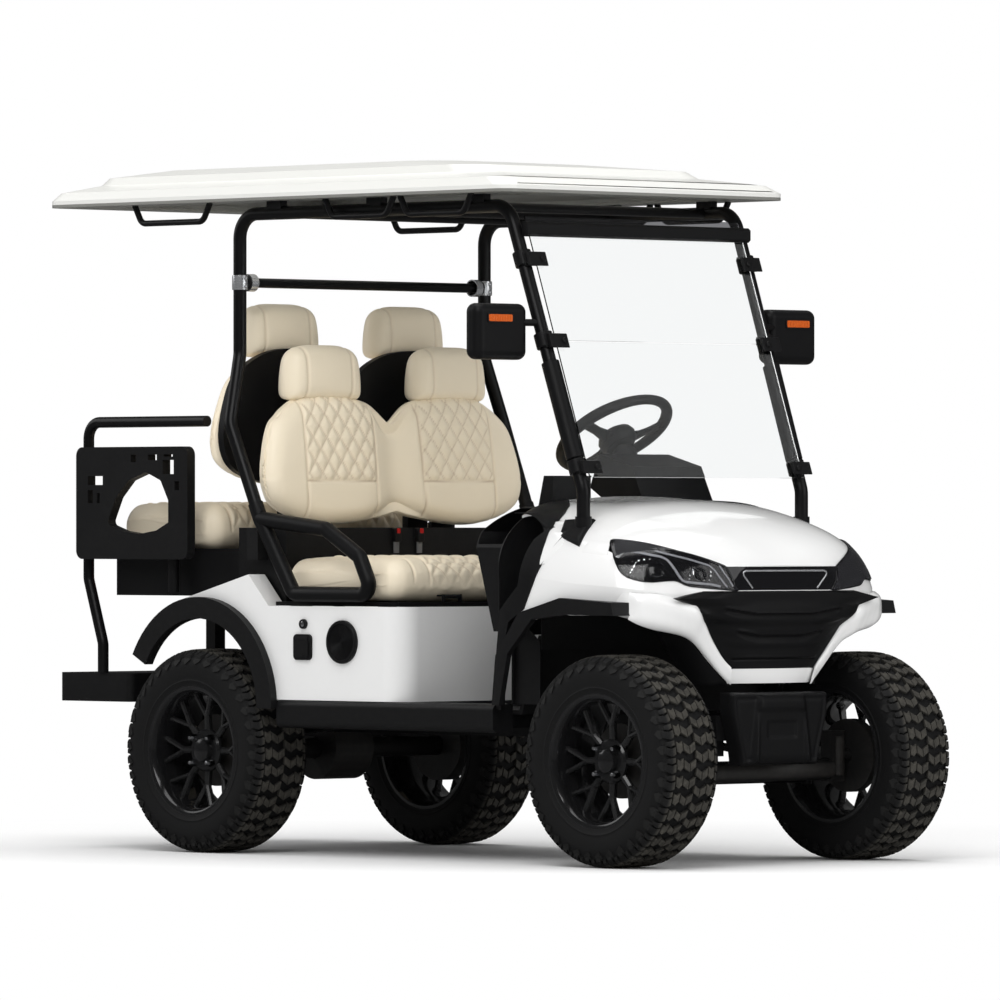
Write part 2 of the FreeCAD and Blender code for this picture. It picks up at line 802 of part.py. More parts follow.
def hood(inset):
    """The upper nose, lofted through sections along the cart. inset takes a wall off it all round."""
    length, half, height = cowl_length - inset, body_half - inset, cowl_height - inset
    sections = []
    for share, points in cowl_shares:
        x = cowl_rear_x + share * length
        line = [V(x, a * half, cowl_base_z + b * height) for a, b in mirrored(points)]
        curve = Part.BSplineCurve()
        curve.interpolate(line)
        left, right = V(x, line[0].y, cowl_base_z), V(x, line[-1].y, cowl_base_z)
        sections.append(Part.Wire([curve.toShape(), Part.LineSegment(line[-1], right).toShape(),
                                   Part.LineSegment(right, left).toShape(),
                                   Part.LineSegment(left, line[0]).toShape()]))
    return Part.makeLoft(sections, True, False)


def chin(inset):
    """The lower nose that wraps the grille, lofted up through flat sections."""
    length, half = chin_length - inset, chin_half - inset
    base, height = chin_base_z + inset, chin_height - inset
    sections = []
    for share, points in chin_shares:
        z = base + share * height
        line = [V(chin_back_x + a * length, b * half, z) for a, b in points]
        line = [V(p.x, -p.y, z) for p in line[:-1]] + list(reversed(line))
        curve = Part.BSplineCurve()
        curve.interpolate(line)
        sections.append(Part.Wire([curve.toShape(), Part.LineSegment(line[-1], line[0]).toShape()]))
    return Part.makeLoft(sections, True, True)


def nose(inset):
    """The whole nose as one closed form, with the front wheels' room cut out of it."""
    height = arch_top_z - cowl_base_z
    rear_edge = placed(arch_rear_shares, (arch_rear_x, cowl_base_z), (arch_front_x - arch_rear_x, height))
    outline = rear_edge + [(arch_front_x, arch_top_z), (arch_front_x, cowl_base_z - overrun),
                           (arch_rear_x, cowl_base_z - overrun)]
    room = side_plate(outline, 0, -body_half - overrun, body_half + overrun)
    return hood(inset).cut(room).fuse(chin(inset))


def lamp_outline(grow):
    """The right headlight's outline in front view."""
    points = placed(lamp_shares, (-lamp_inner_y, lamp_base_z), (-lamp_width, lamp_height))
    return front_plate(points, 0, chin_back_x - lamp_width / 2, nose_x + overrun)


def trim_zone(y0, y1):
    """The black side trim's outline in side view, on the right."""
    points = placed(trim_shares, (trim_foot_x, cowl_base_z), (trim_run, trim_rise))
    return side_plate(points, 0, y0, y1)


def grille_slots():
    """The slots between the grille's louvres, each wider than the one below it."""
    top_share = grille_shares[3][1]
    pitch = grille_height * top_share / grille_slot_count
    slots = []
    for i in range(grille_slot_count):
        low = grille_base_z + pitch * (i + (1 - grille_slot_share) / 2)
        high = low + pitch * grille_slot_share
        share = (low - grille_base_z) / grille_height / top_share
        foot, wide = grille_shares[4][0], grille_shares[3][0]
        reach = grille_half * grille_slot_reach * (foot + (wide - foot) * share)
        bend = reach - grille_wing
        slots.append(front_plate([(-bend, low), (bend, low), (reach, low + grille_slot_lift),
                                  (reach, high + grille_slot_lift), (bend, high), (-bend, high),
                                  (-reach, high + grille_slot_lift), (-reach, low + grille_slot_lift)],
                                 0, chin_back_x, nose_x + overrun))
    return Part.makeCompound(slots)


def front_end():
    """The white cowl with its openings, and the grille, nose strip, lamps and side trims set in it."""
    outer, inner = nose(0), nose(cowl_wall)
    shell = outer.cut(inner)
    grille_window = front_plate(placed(grille_shares, (0, grille_base_z), (grille_half, grille_height)),
                                0, chin_back_x, nose_x + overrun)
    foot = strip_half * strip_foot_share
    strip_window = front_plate([(-strip_half, strip_base_z + strip_height), (strip_half, strip_base_z + strip_height),
                                (foot, strip_base_z), (-foot, strip_base_z)], 0, chin_back_x, nose_x + overrun)
    lamp_windows = both_sides(lamp_outline(0))
    far = body_half + overrun
    inside = body_half * trim_inner_share
    trims = both_sides(trim_zone(-far, -inside))
    rear_edge = placed(trim_shares[:5], (trim_foot_x, cowl_base_z), (trim_run, trim_rise))
    rear_zone = rear_edge + [(rear_edge[-1][0], cowl_base_z + cowl_height + overrun),
                             (trim_foot_x - overrun, cowl_base_z + cowl_height + overrun),
                             (trim_foot_x - overrun, cowl_base_z)]
    trims += both_sides(side_plate(rear_zone, 0, -far, -body_half * trim_inner_share + overrun))
    behind = [box(cowl_rear_x - overrun, trim_foot_x + trim_run / 2, s - overrun, s + overrun, 0, arch_top_z)
              for s in (-body_half, body_half)]
    cowl = shell.cut(Part.makeCompound([grille_window, strip_window, *lamp_windows]))
    cowl = cowl.cut(Part.makeCompound(trims + behind))
    skin = nose(seat_gap).cut(nose(grille_depth))
    grille = skin.common(grille_window).cut(grille_slots().cut(nose(grille_slot_depth)))
    strip = skin.common(strip_window)
    lamps = [nose(seat_gap).cut(nose(lamp_depth)).common(w) for w in lamp_windows]
    return cowl, grille, strip, lamps


def side_trims():
    """The black panels along the cowl's rear edge, each as a skin over the nose with a flat foot."""
    far = body_half + overrun
    zone = trim_zone(-far, -body_half * trim_inner_share - seat_gap)
    skin = hood(-trim_proud).cut(hood(cowl_wall + trim_wall)).common(zone)
    return both_sides(max(skin.Solids, key=lambda s: s.Volume))


def front_flares():
    """The black lips over the front wheels."""
    points = placed(front_flare_shares, (front_flare_rear_x, front_flare_base_z),
                    (front_flare_length, front_flare_height))
    plate = side_plate(points, 0, -front_flare_out - trim_proud, -body_half * front_flare_inner_share)
    return both_sides(plate.cut(hood(-trim_proud - seat_gap)).cut(chin(-seat_gap)))


def rear_flares():
    """The black lips round the rear wheels, as a channel bent to the arch."""
    y0 = body_side + seat_gap
    channel = [(flare_outer, y0), (flare_outer, flare_out), (flare_inner, flare_out),
               (flare_inner, y0 - liner_lap), (flare_inner + flare_wall, y0 - liner_lap),
               (flare_inner + flare_wall, flare_out - flare_wall), (flare_outer - flare_wall, flare_out - flare_wall),
               (flare_outer - flare_wall, y0)]
    ring = [V(rear_arch_x + r, -y, rear_arch_z) for r, y in channel]
    face = Part.Face(Part.makePolygon(ring + ring[:1]))
    band = face.revolve(V(rear_arch_x, 0, rear_arch_z), V(0, -1, 0), 180 - flare_rear_angle)
    return both_sides(band)


def sills():
    """The two running boards' box sections."""
    pair = []
    for sign in (-1, 1):
        y0, y1 = sign * sill_out, sign * (sill_out - sill_width)
        block = box(sill_rear_x, sill_front_x, min(y0, y1), max(y0, y1), sill_base_z, sill_top_z)
        far = [e for e in block.Edges if abs(e.CenterOfMass.y - y0) < seat_gap and e.Length > sill_height()]
        pair.append(block.makeFillet(sill_round, far))
    return pair


def sill_height():
    """How deep a sill is."""
    return sill_top_z - sill_base_z


def front_bumper():
    """The black moulding under the nose, open at the back where the rails' ends hold it."""
    def shape(wall, x0):
        points = [(-bumper_top_half + wall, bumper_top_z - wall), (bumper_top_half - wall, bumper_top_z - wall),
                  (bumper_base_half - wall, bumper_base_z + wall), (-bumper_base_half + wall, bumper_base_z + wall)]
        return front_plate(points, bumper_round, x0, bumper_front_x - wall)
    return shape(0, bumper_back_x).cut(shape(bumper_wall, bumper_back_x - overrun))


def quarter_outline(inset):
    """The rear body's side view, from the kick panel back to the rear quarter."""
    t = inset
    return [(kick_x - t, body_base_z - t), (kick_x - t, body_top_z), (quarter_foot_x, body_top_z),
            (quarter_peak_x - t, quarter_peak_z - t), (quarter_rear_x, quarter_rear_z - t),
            (quarter_rear_x, body_base_z - t)]


def rear_body():
    """The white body under the front seat, hollow, with the rear wheel arches and their liners."""
    outer = side_plate(quarter_outline(0), 0, -body_side, body_side)
    upright = [e for e in outer.Edges if abs(e.CenterOfMass.x - kick_x) < seat_gap and e.Length < body_side]
    outer = outer.makeFillet(corner_round, upright)
    side = body_side - body_wall
    inner = side_plate(quarter_outline(body_wall), 0, -side, side)
    upright = [e for e in inner.Edges if abs(e.CenterOfMass.x - kick_x + body_wall) < seat_gap and e.Length < side]
    inner = inner.makeFillet(corner_round - body_wall, upright)
    well = box(quarter_rear_x - overrun, kick_x - body_wall - corner_round, -side + lip_width, side - lip_width,
               body_base_z - overrun, quarter_peak_z + overrun)
    arch = rod(rear_arch_radius, (rear_arch_x, -body_half, rear_arch_z), (rear_arch_x, body_half, rear_arch_z))
    liner_skin = rear_arch_radius + body_wall
    shell = outer.cut(inner).cut(well)
    liners = []
    for sign in (-1, 1):
        liner = rod(liner_skin, (rear_arch_x, sign * liner_inner_y, rear_arch_z),
                    (rear_arch_x, sign * (body_side - body_wall / 2), rear_arch_z))
        liners.append(liner.common(side_plate(quarter_outline(body_wall / 2), 0, -body_side, body_side)))
    return joined([shell, *liners]).cut(arch)


def deck():
    """The black seat deck, the bulkhead behind the front seat and the box under the rear seat."""
    top = body_top_z + seat_gap
    plate = box(quarter_foot_x, kick_x - corner_round / 2, -body_side + lip_width / 2, body_side - lip_width / 2,
                top, deck_top_z)
    wall = box(bulkhead_rear_x, bulkhead_front_x, -bulkhead_half, bulkhead_half, top, bulkhead_top_z)
    hollow = box(bulkhead_rear_x + frame_wall, bulkhead_front_x - frame_wall, -bulkhead_half + frame_wall,
                 bulkhead_half - frame_wall, top - overrun, bulkhead_top_z - frame_wall)
    base = box(rear_base_x, bulkhead_rear_x + frame_wall / 2, -rear_base_half, rear_base_half,
               rear_base_bottom_z, rear_base_top_z)
    under = box(rear_base_x + frame_wall, bulkhead_rear_x + frame_wall, -rear_base_half + frame_wall,
                rear_base_half - frame_wall, rear_base_bottom_z - overrun, rear_base_top_z - frame_wall)
    liner = rear_arch_radius + body_wall + seat_gap
    arch = rod(liner, (rear_arch_x, -body_half, rear_arch_z), (rear_arch_x, body_half, rear_arch_z))
    front_ears = hinge_ears(front_hinge_x - hinge_radius, front_hinge_x + hinge_radius, deck_top_z - frame_wall,
                            front_hinge_z + hinge_radius)
    rear_ears = hinge_ears(rear_hinge_x - hinge_radius, rear_base_x + frame_wall, rear_base_top_z - 2 * hinge_radius,
                           rear_base_top_z)
    return joined([plate, wall.cut(hollow), base.cut(under), *front_ears, *rear_ears]).cut(arch)


def seat_legs():
    """Box legs from the rails up to the rear seat's base."""
    legs = []
    for sign in (-1, 1):
        for x in (plate_front_x + panel_gap, bulkhead_rear_x - 2 * cross_size):
            y0 = sign * rail_y - cross_size / 2
            legs.append(box(x, x + cross_size, y0, y0 + cross_size, rail_top + seat_gap,
                            rear_base_top_z - frame_wall))
    return legs


def side_fittings():
    """The speakers, the key lock and the charging socket on the body's sides."""
    face = body_side + seat_gap
    out = face + fitting_depth
    speaker = rod(speaker_radius, (speaker_x, -out, speaker_z), (speaker_x, -face, speaker_z))
    lock = rod(lock_radius, (lock_x, -out, lock_z), (lock_x, -face, lock_z))
    half = socket_size / 2
    socket = side_plate([(socket_x - half, socket_z - half), (socket_x + half, socket_z - half),
                         (socket_x + half, socket_z + half), (socket_x - half, socket_z + half)],
                        lock_radius, -out, -face)
    return [speaker, other_side(speaker), lock, socket]


def floor_pan():
    """The flat floor with the sloped toe board in front of it."""
    under = floor_z - floor_thick
    half = sill_out - sill_width - seat_gap
    t = floor_thick
    outline = [(floor_rear_x, under), (toe_x + t, under), (toe_top_x + t, toe_top_z), (toe_top_x, toe_top_z),
               (toe_x, floor_z), (floor_rear_x, floor_z)]
    return side_plate(outline, 0, -half, half)


def dashboard():
    """The dashboard with its instrument pod, the holder on its top and the steering column's shroud."""
    body = side_plate([(dash_rear_x, dash_top_z - corner_round), (dash_rear_x + corner_round / 2, dash_top_z),
                       (dash_front_x, dash_top_z), (dash_front_x, dash_base_z),
                       (dash_front_x - corner_round / 2, dash_base_z)], 0, -dash_half, dash_half)
    inner = side_plate([(dash_rear_x + cowl_wall, dash_top_z - corner_round),
                        (dash_rear_x + corner_round / 2, dash_top_z - cowl_wall),
                        (dash_front_x + overrun, dash_top_z - cowl_wall), (dash_front_x + overrun, dash_base_z),
                        (dash_front_x - corner_round / 2 + cowl_wall, dash_base_z)],
                       0, -dash_half + cowl_wall, dash_half - cowl_wall)
    pod = side_plate([(pod_rear_x, pod_base_z + corner_round), (pod_rear_x + corner_round / 2, pod_top_z),
                      (pod_front_x + corner_round, pod_top_z - corner_round / 2),
                      (dash_front_x, pod_base_z), (dash_rear_x, pod_base_z)], 0, pod_y - pod_half, pod_y + pod_half)
    back = holder_x - holder_thick
    holder = side_plate([(back - holder_thick, dash_top_z - cowl_wall), (back, dash_top_z), (back, holder_top_z),
                         (back - holder_lip, holder_top_z)],
                        0, -holder_y - holder_width / 2, -holder_y + holder_width / 2)
    lean = math.radians(wheel_tilt)
    start, end = column_start + seat_gap, column_start + column_length
    column = rod(column_radius, (wheel_x + start * math.sin(lean), wheel_centre_y, wheel_z - start * math.cos(lean)),
                 (wheel_x + end * math.sin(lean), wheel_centre_y, wheel_z - end * math.cos(lean)))
    section = hood(cowl_wall + dash_clearance)
    wall = section.common(box(cowl_rear_x, cowl_rear_x + frame_wall, -body_half, body_half,
                              firewall_base_z, cowl_base_z + cowl_height))
    rear_face = min(section.Faces, key=lambda f: f.CenterOfMass.x)
    within = rear_face.extrude(V(dash_rear_x - cowl_rear_x, 0, 0)).fuse(wall)
    return joined([body.cut(inner).common(within), wall, pod, holder, column])


def steering_wheel():
    """The rim, three spokes, hub and the end of its shaft."""
    lean = math.radians(wheel_tilt)
    ring = Part.makeTorus(wheel_ring, wheel_grip)
    hub = Part.makeCylinder(wheel_hub, wheel_hub_depth, V(0, 0, -wheel_hub_depth - wheel_grip))
    spokes = []
    for turn in (90, 210, 330):
        a = math.radians(turn)
        end = (wheel_ring * math.sin(a), wheel_ring * math.cos(a), 0)
        spokes.append(rod(wheel_spoke, (0, 0, -wheel_hub_depth / 2 - wheel_grip), end))
    shaft = Part.makeCylinder(shaft_radius, column_start - wheel_hub_depth, V(0, 0, -column_start))
    wheel = joined([ring, hub, *spokes, shaft])
    wheel.rotate(V(0, 0, 0), V(0, 1, 0), -wheel_tilt)
    wheel.translate(V(wheel_x, wheel_centre_y, wheel_z))
    return wheel


def pillar_at(z):
    """The windscreen pillar's centre at a height, as X and Y."""
    share = (z - pillar_bend_z) / (roof_rail_z - pillar_bend_z)
    return (pillar_foot_x + share * (pillar_top_x - pillar_foot_x),
            pillar_foot_y + share * (pillar_top_y - pillar_foot_y))


def roof_frame():
    """The pillars, roof rails and rear posts, each side one bent tube, with cross tubes and pads for the roof."""
    sides = []
    for sign in (-1, 1):
        sides.append(bent_tube([(pillar_foot_x, sign * pillar_foot_y, pillar_foot_z),
                                (pillar_foot_x, sign * pillar_foot_y, pillar_bend_z),
                                (pillar_top_x, sign * pillar_top_y, roof_rail_z),
                                (post_x, sign * post_y, roof_rail_z),
                                (post_x, sign * post_y, post_low_z),
                                (post_mid_x, sign * post_mid_y, post_mid_z),
                                (post_foot_x, sign * hip_y, post_foot_z)], tube, tube_bend).cut(hood(-seat_gap)))
    run = pillar_top_x - tube_bend - post_x - tube_bend - pad_length
    for share in pad_shares:
        x = post_x + tube_bend + share * run
        y = post_y + (x - post_x) / (pillar_top_x - post_x) * (pillar_top_y - post_y)
        sides.append(rod(tube - cowl_wall, (x + pad_length / 2, -y, roof_rail_z), (x + pad_length / 2, y, roof_rail_z)))
        for sign in (-1, 1):
            middle = sign * y
            sides.append(box(x, x + pad_length, middle - pad_width / 2, middle + pad_width / 2,
                             roof_rail_z, roof_base_z - seat_gap))
    return joined(sides)


def roof_outline(inset, front_inset, z):
    """The roof's plan at a height, as a wire."""
    x0, x1, y = roof_rear_x + inset, roof_front_x - front_inset, roof_half - inset
    return rounded_path([(x0, -y, z), (x1, -y, z), (x1, y, z), (x0, y, z)],
                        roof_corner + inset * roof_corner_growth, True)


def roof_panel():
    """The white roof, lofted up in steps and open below inside its flange."""
    def stack(inset, base, height):
        wires = [roof_outline(inset + a * roof_half, inset + a * roof_half * roof_front_slope, base + b * height)
                 for a, b in roof_step_shares]
        return Part.makeLoft(wires, True, True)
    outer = stack(0, roof_base_z, roof_height)
    inner = stack(roof_wall, roof_base_z + roof_wall, roof_height - 2 * roof_wall)
    window = Part.makeLoft([roof_outline(roof_flange, roof_flange, roof_base_z - overrun),
                            roof_outline(roof_flange, roof_flange, roof_base_z + 2 * roof_wall)], True, True)
    return outer.cut(inner.fuse(window))


def pillar_boots():
    """The rubber boots at the pillars' feet."""
    foot = pillar_foot_z
    boot = Part.makeCone(boot_radius, tube + cowl_wall, boot_height, V(pillar_foot_x, -pillar_foot_y, foot))
    hole = rod(tube + seat_gap, (pillar_foot_x, -pillar_foot_y, foot - overrun),
               (pillar_foot_x, -pillar_foot_y, pillar_bend_z))
    return both_sides(boot.cut(hole).cut(hood(-seat_gap)))


def windscreen():
    """Two clear panes in front of the pillars."""
    offset = pillar_sleeve_radius + seat_gap
    panes = []
    for z0, z1 in ((glass_base_z, glass_split_z - panel_gap), (glass_split_z, glass_top_z)):
        x0, x1 = pillar_at(z0)[0] + offset, pillar_at(z1)[0] + offset
        panes.append(side_plate([(x0, z0), (x0 + glass_thick, z0), (x1 + glass_thick, z1), (x1, z1)],
                                0, -glass_half, glass_half))
    return panes


def windscreen_fittings():
    """Rubber sleeves on the pillars, the clamps that hold the panes, and the bar along the top edge."""
    pieces = []
    low, high = pillar_at(sleeve_low_z), pillar_at(sleeve_high_z)
    for sign in (-1, 1):
        a, b = (low[0], sign * low[1], sleeve_low_z), (high[0], sign * high[1], sleeve_high_z)
        pieces.append(rod(pillar_sleeve_radius, a, b).cut(rod(tube + seat_gap / 3, a, b)))
    offset = pillar_sleeve_radius + seat_gap
    for z, inner_y in ((clamp_low_z, clip_inner_y), (clamp_mid_z, glass_half - clamp_width),
                       (clamp_high_z, glass_half - clamp_width)):
        x, y = pillar_at(z)
        block = box(x - clamp_length / 2, x + offset + clamp_length / 2, -y - clamp_length / 2, -inner_y,
                    z - clamp_width / 2, z + clamp_width / 2)
        block = block.cut(box(x - clamp_length, x + offset - clamp_length / 2, -y + clamp_length / 2,
                              -inner_y + overrun, z - clamp_width, z + clamp_width))
        (ax, ay), (bx, by) = pillar_at(z - clamp_length), pillar_at(z + clamp_length)
        pillar = rod(tube + 2 * seat_gap, (ax, -ay, z - clamp_length), (bx, -by, z + clamp_length))
        near, far = offset - seat_gap, offset + glass_thick + seat_gap
        slot = side_plate([(ax + near, z - clamp_length), (ax + far, z - clamp_length),
                           (bx + far, z + clamp_length), (bx + near, z + clamp_length)],
                          0, -glass_half - seat_gap, 0)
        pieces += both_sides(block.cut(pillar).cut(slot))
    ahead = offset + glass_thick + seat_gap
    z0, z1 = top_bar_base_z, top_bar_base_z + top_bar_height
    x0, x1 = pillar_at(z0)[0] + ahead, pillar_at(z1)[0] + ahead
    pieces.append(side_plate([(x0, z0), (x0 + top_bar_depth, z0), (x1 + top_bar_depth, z1), (x1, z1)],
                             0, -top_bar_half, top_bar_half))
    return pieces


def mirrors():
    """The two side mirrors on arms from the pillars."""
    pair = []
    x, y, z = mirror_x, mirror_y, mirror_z
    head = soft_block(x - mirror_depth / 2, x + mirror_depth / 2, -y - mirror_width / 2, -y + mirror_width / 2,
                      z - mirror_height / 2, z + mirror_height / 2, mirror_round)
    (ax, ay), (bx, by) = pillar_at(z - mirror_width), pillar_at(z + mirror_width)
    pillar = rod(tube + seat_gap, (ax, -ay, z - mirror_width), (bx, -by, z + mirror_width))
    arm_z = z + mirror_arm_rise
    px, py = pillar_at(arm_z)
    arm = rod(mirror_arm, (x, -y, arm_z), (px, -py - tube / 2, arm_z))
    return both_sides(joined([head, arm]).cut(pillar))


def roof_handles():
    """Grab handles under the roof's edge."""
    handles = []
    for rear, length in zip(handle_rears, handle_lengths):
        top = roof_base_z - seat_gap
        points = [(rear, -handle_y, top), (rear + handle_slope, -handle_y, handle_z),
                  (rear + length - handle_slope, -handle_y, handle_z), (rear + length, -handle_y, top)]
        bar = bent_tube(points, handle_radius, handle_slope)
        handles.append(bar.cut(box(rear - length, rear + 2 * length, -body_half, 0, top, top + overrun)))
    return both_sides(*handles)


def roof_crossbar():
    """The bar between the rear posts, with a clamp at each end."""
    end = post_y - tube - seat_gap
    pieces = [rod(cross_radius, (post_x, -end, crossbar_z), (post_x, end, crossbar_z))]
    for sign in (-1, 1):
        pieces.append(rod(crossbar_clamp, (post_x, sign * end, crossbar_z),
                          (post_x, sign * (end - crossbar_clamp), crossbar_z)))
    return joined(pieces)


def seat_back(half, base, height, grow, x0, x1):
    """A two-lobed seat back from x0 to x1, grown all round by a margin."""
    side = placed(back_shares, (0, base - grow), (half + grow, height + 2 * grow))
    return smooth_plate(side + [(-y, z) for y, z in reversed(side[1:-1])], x0, x1)


def hinge_barrel(x, z, radius, strap_end_x, strap_base_z):
    """Two barrels on a seat's hinge line, with the straps that carry them under the cushion."""
    pieces = []
    for y in (-hinge_y, hinge_y):
        pieces.append(rod(radius, (x, y - hinge_half, z), (x, y + hinge_half, z)))
        pieces.append(box(min(x, strap_end_x), max(x, strap_end_x), y - hinge_half, y + hinge_half,
                          strap_base_z, strap_base_z + hinge_strap))
    return pieces


def hinge_ears(x0, x1, z0, z1):
    """The fixed ears at both ends of each barrel."""
    ears = []
    for y in (-hinge_y, hinge_y):
        for sign in (-1, 1):
            near = y + sign * (hinge_half + seat_gap)
            far = near + sign * hinge_strap
            ears.append(box(x0, x1, min(near, far), max(near, far), z0, z1))
    return ears


def seats():
    """Cushions, backs and headrests as plain closed forms, and the shells behind the rear backs."""
    front_cushion = soft_block(front_cushion_rear_x, front_cushion_front_x, -front_cushion_half, front_cushion_half,
                               deck_top_z + seat_gap, front_cushion_top_z, cushion_round)
    front_hinge = hinge_barrel(front_hinge_x, front_hinge_z, hinge_radius, front_cushion_front_x - cushion_round,
                               front_hinge_z - hinge_strap / 2)
    save("front_seat_cushion", joined([front_cushion, *front_hinge]))
    x = front_back_x - back_thick
    front_form = (front_back_half, front_back_base_z, front_back_height)
    save("front_seat_back", seat_back(*front_form, 0, x, front_back_x))
    rear_x = rear_cushion_front_x + rear_cushion_length
    rear_cushion = soft_block(rear_cushion_front_x, rear_x, -rear_cushion_half, rear_cushion_half,
                              rear_base_top_z + seat_gap, rear_cushion_top_z, cushion_round)
    rear_hinge = hinge_barrel(rear_hinge_x, rear_base_top_z, hinge_radius, rear_cushion_front_x + 2 * cushion_round,
                              rear_base_top_z + seat_gap)
    save("rear_seat_cushion", joined([rear_cushion, *rear_hinge]))
    shell_x = rear_back_x + rear_back_thick
    rear_form = (rear_back_half, rear_back_base_z, rear_back_height)
    save("rear_seat_back", seat_back(*rear_form, 0, rear_back_x, shell_x))
    shells = seat_back(*rear_form, 0, shell_x + seat_gap, shell_x + shell_thick)
    legs = [box(shell_x + seat_gap, shell_x + shell_thick, s - cross_size, s + cross_size,
                rear_base_top_z + seat_gap, rear_back_base_z + overrun)
            for s in (-headrest_y, headrest_y)]
    save("seat_back_shells", joined([shells, *legs]))
    supports = [box(x - panel_gap - frame_wall, x - seat_gap, s - cross_size, s + cross_size,
                    bulkhead_top_z + seat_gap, front_back_base_z + support_rise)
                for s in (-headrest_y, headrest_y)]
    save("seat_back_brackets", *supports)
    heads = []
    places = ((x + 2 * headrest_stem, front_headrest_z, front_form), (rear_back_x + rear_back_thick / 2,
                                                                       rear_headrest_z, rear_form))
    for rest_x, rest_z, form in places:
        top = form[1] + form[2]
        room = seat_back(*form, seat_gap, rest_x - back_thick, rest_x + back_thick)
        for y in (-headrest_y, headrest_y):
            low = max(rest_z - headrest_height / 2, top + panel_gap)
            pillow = soft_block(rest_x - headrest_depth / 2, rest_x + headrest_depth / 2, y - headrest_half,
                                y + headrest_half, low, rest_z + headrest_height / 2, cushion_round)
            stems = [rod(headrest_stem, (rest_x, y + s * headrest_half / 2, top - stem_reach),
                         (rest_x, y + s * headrest_half / 2, rest_z)).cut(room) for s in (-1, 1)]
            heads.append(joined([pillow, *stems]))
    save("headrests", *heads)


def hip_restraints():
    """The side loops beside the front seat, each continuing its rear post down to the deck."""
    low = deck_top_z + seat_gap + hip_tube
    start = V(post_foot_x, hip_y, post_foot_z)
    mid = V(post_mid_x, post_mid_y, post_mid_z)
    way = (start - mid).normalize()
    start = start + way * seat_gap
    knee = start + way * hip_tube * 2
    loops = []
    for sign in (-1, 1):
        leg = [(start.x, sign * start.y, start.z), (knee.x, sign * knee.y, knee.z),
               (hip_rear_x, sign * hip_y, low),
               (hip_front_x, sign * hip_y, low),
               (hip_shoulder_x, sign * hip_y, hip_shoulder_z), (hip_crest_x, sign * hip_y, hip_crest_z),
               (start.x + hip_tube, sign * hip_y, start.z - hip_tube * 2)]
        rail = [((hip_rear_x + hip_front_x) / 2, sign * hip_y, low), *leg[3:]]
        leg = [*leg[:3], rail[0]]
        loops.append(joined([bent_tube(leg, hip_tube, hip_bend), bent_tube(rail, hip_tube, hip_bend)]))
    return loops


def armrests():
    """The black side panels with their openings, outside the rear rails."""
    y0 = side_tube_y + side_tube + seat_gap
    points = [(rest_rear_x, rest_base_z), (rest_front_x, rest_base_z), (rest_front_x, rest_top_z),
              (rest_rear_x, rest_top_z)]
    size = (rest_front_x - rest_rear_x, rest_top_z - rest_base_z)
    plate = side_plate(points, rest_round, -y0 - rest_thick, -y0)
    outside, inside = -y0 - rest_thick - overrun, -y0 + overrun
    holes = [side_plate(placed(rest_hole_shares, (rest_rear_x, rest_base_z), size), rest_hole_round, outside, inside)]
    for a, b, c, d in rest_window_shares:
        holes.append(box(rest_rear_x + a * size[0], rest_rear_x + b * size[0], outside, inside,
                         rest_base_z + c * size[1], rest_base_z + d * size[1]))
    return both_sides(plate.cut(Part.makeCompound(holes)))


def armrest_rails():
    """The tubes from the footplate up round each armrest, and the prop under its front end."""
    foot = plate_top_z + seat_gap
    rails = []
    for sign in (-1, 1):
        y = sign * side_tube_y
        rails.append(bent_tube([(side_foot_x, y, foot), (side_foot_x, y, side_low_z), (side_knee_x, y, side_knee_z),
                                (side_knee_x, y, side_top_z), (side_front_x, y, side_top_z)], side_tube,
                               side_tube * 3))
        rails.append(rod(side_tube, (prop_x, y, side_top_z - tube_bend * 3), (prop_x, y, quarter_rear_z + overrun)))
    return rails


def footplate():
    """The rear footplate, a tray that sits on the rails."""
    tray = box(plate_rear_x, plate_front_x, -plate_half, plate_half, plate_base_z, plate_top_z)
    middle = (plate_base_z + plate_top_z) / 2
    upright = [e for e in tray.Edges if abs(e.CenterOfMass.z - middle) < seat_gap and e.Length < plate_half]
    tray = tray.makeFillet(plate_round, upright)
    hollow = box(plate_rear_x + plate_wall, plate_front_x - plate_wall, -plate_half + plate_wall,
                 plate_half - plate_wall, plate_base_z - overrun, plate_top_z - plate_wall)
    risers = []
    for sign in (-1, 1):
        y0 = sign * rail_y - rail_width / 2
        risers.append(box(rail_rear_x + cross_size, plate_front_x, y0, y0 + rail_width, rail_top + seat_gap,
                          plate_top_z - plate_wall / 2))
    return joined([tray.cut(hollow), *risers])


def small_fittings():
    """Tail lamps, belt retractors and buckles."""
    lamps = []
    for sign in (-1, 1):
        y = sign * lamp_red_y
        lamps.append(box(rear_base_x - seat_gap - lamp_red_depth, rear_base_x - seat_gap, y - lamp_red_width / 2,
                         y + lamp_red_width / 2, lamp_red_z - lamp_red_height / 2, lamp_red_z + lamp_red_height / 2))
    save("tail_lights", *lamps)
    retractors = []
    for sign in (-1, 1):
        inner = sign * (bulkhead_half + seat_gap)
        outer = inner + sign * retractor_width
        middle = (bulkhead_front_x + bulkhead_rear_x) / 2
        retractors.append(box(middle - retractor_depth / 2, middle + retractor_depth / 2, min(inner, outer),
                              max(inner, outer), bulkhead_top_z - retractor_height, bulkhead_top_z))
    save("belt_retractors", *retractors)
    buckles = []
    for sign in (-1, 1):
        x = bulkhead_front_x + seat_gap
        y = sign * buckle_y
        buckles.append(box(x, x + buckle_depth, y - buckle_width / 2, y + buckle_width / 2,
                           bulkhead_top_z - buckle_height, bulkhead_top_z))
    save("belt_buckles", *buckles)


def battery_pack():
    """The batteries under the front seat, as one plain block on the rails."""
    z = rail_top + seat_gap
    return box(battery_rear_x, battery_front_x, -battery_half, battery_half, z, z + battery_height)


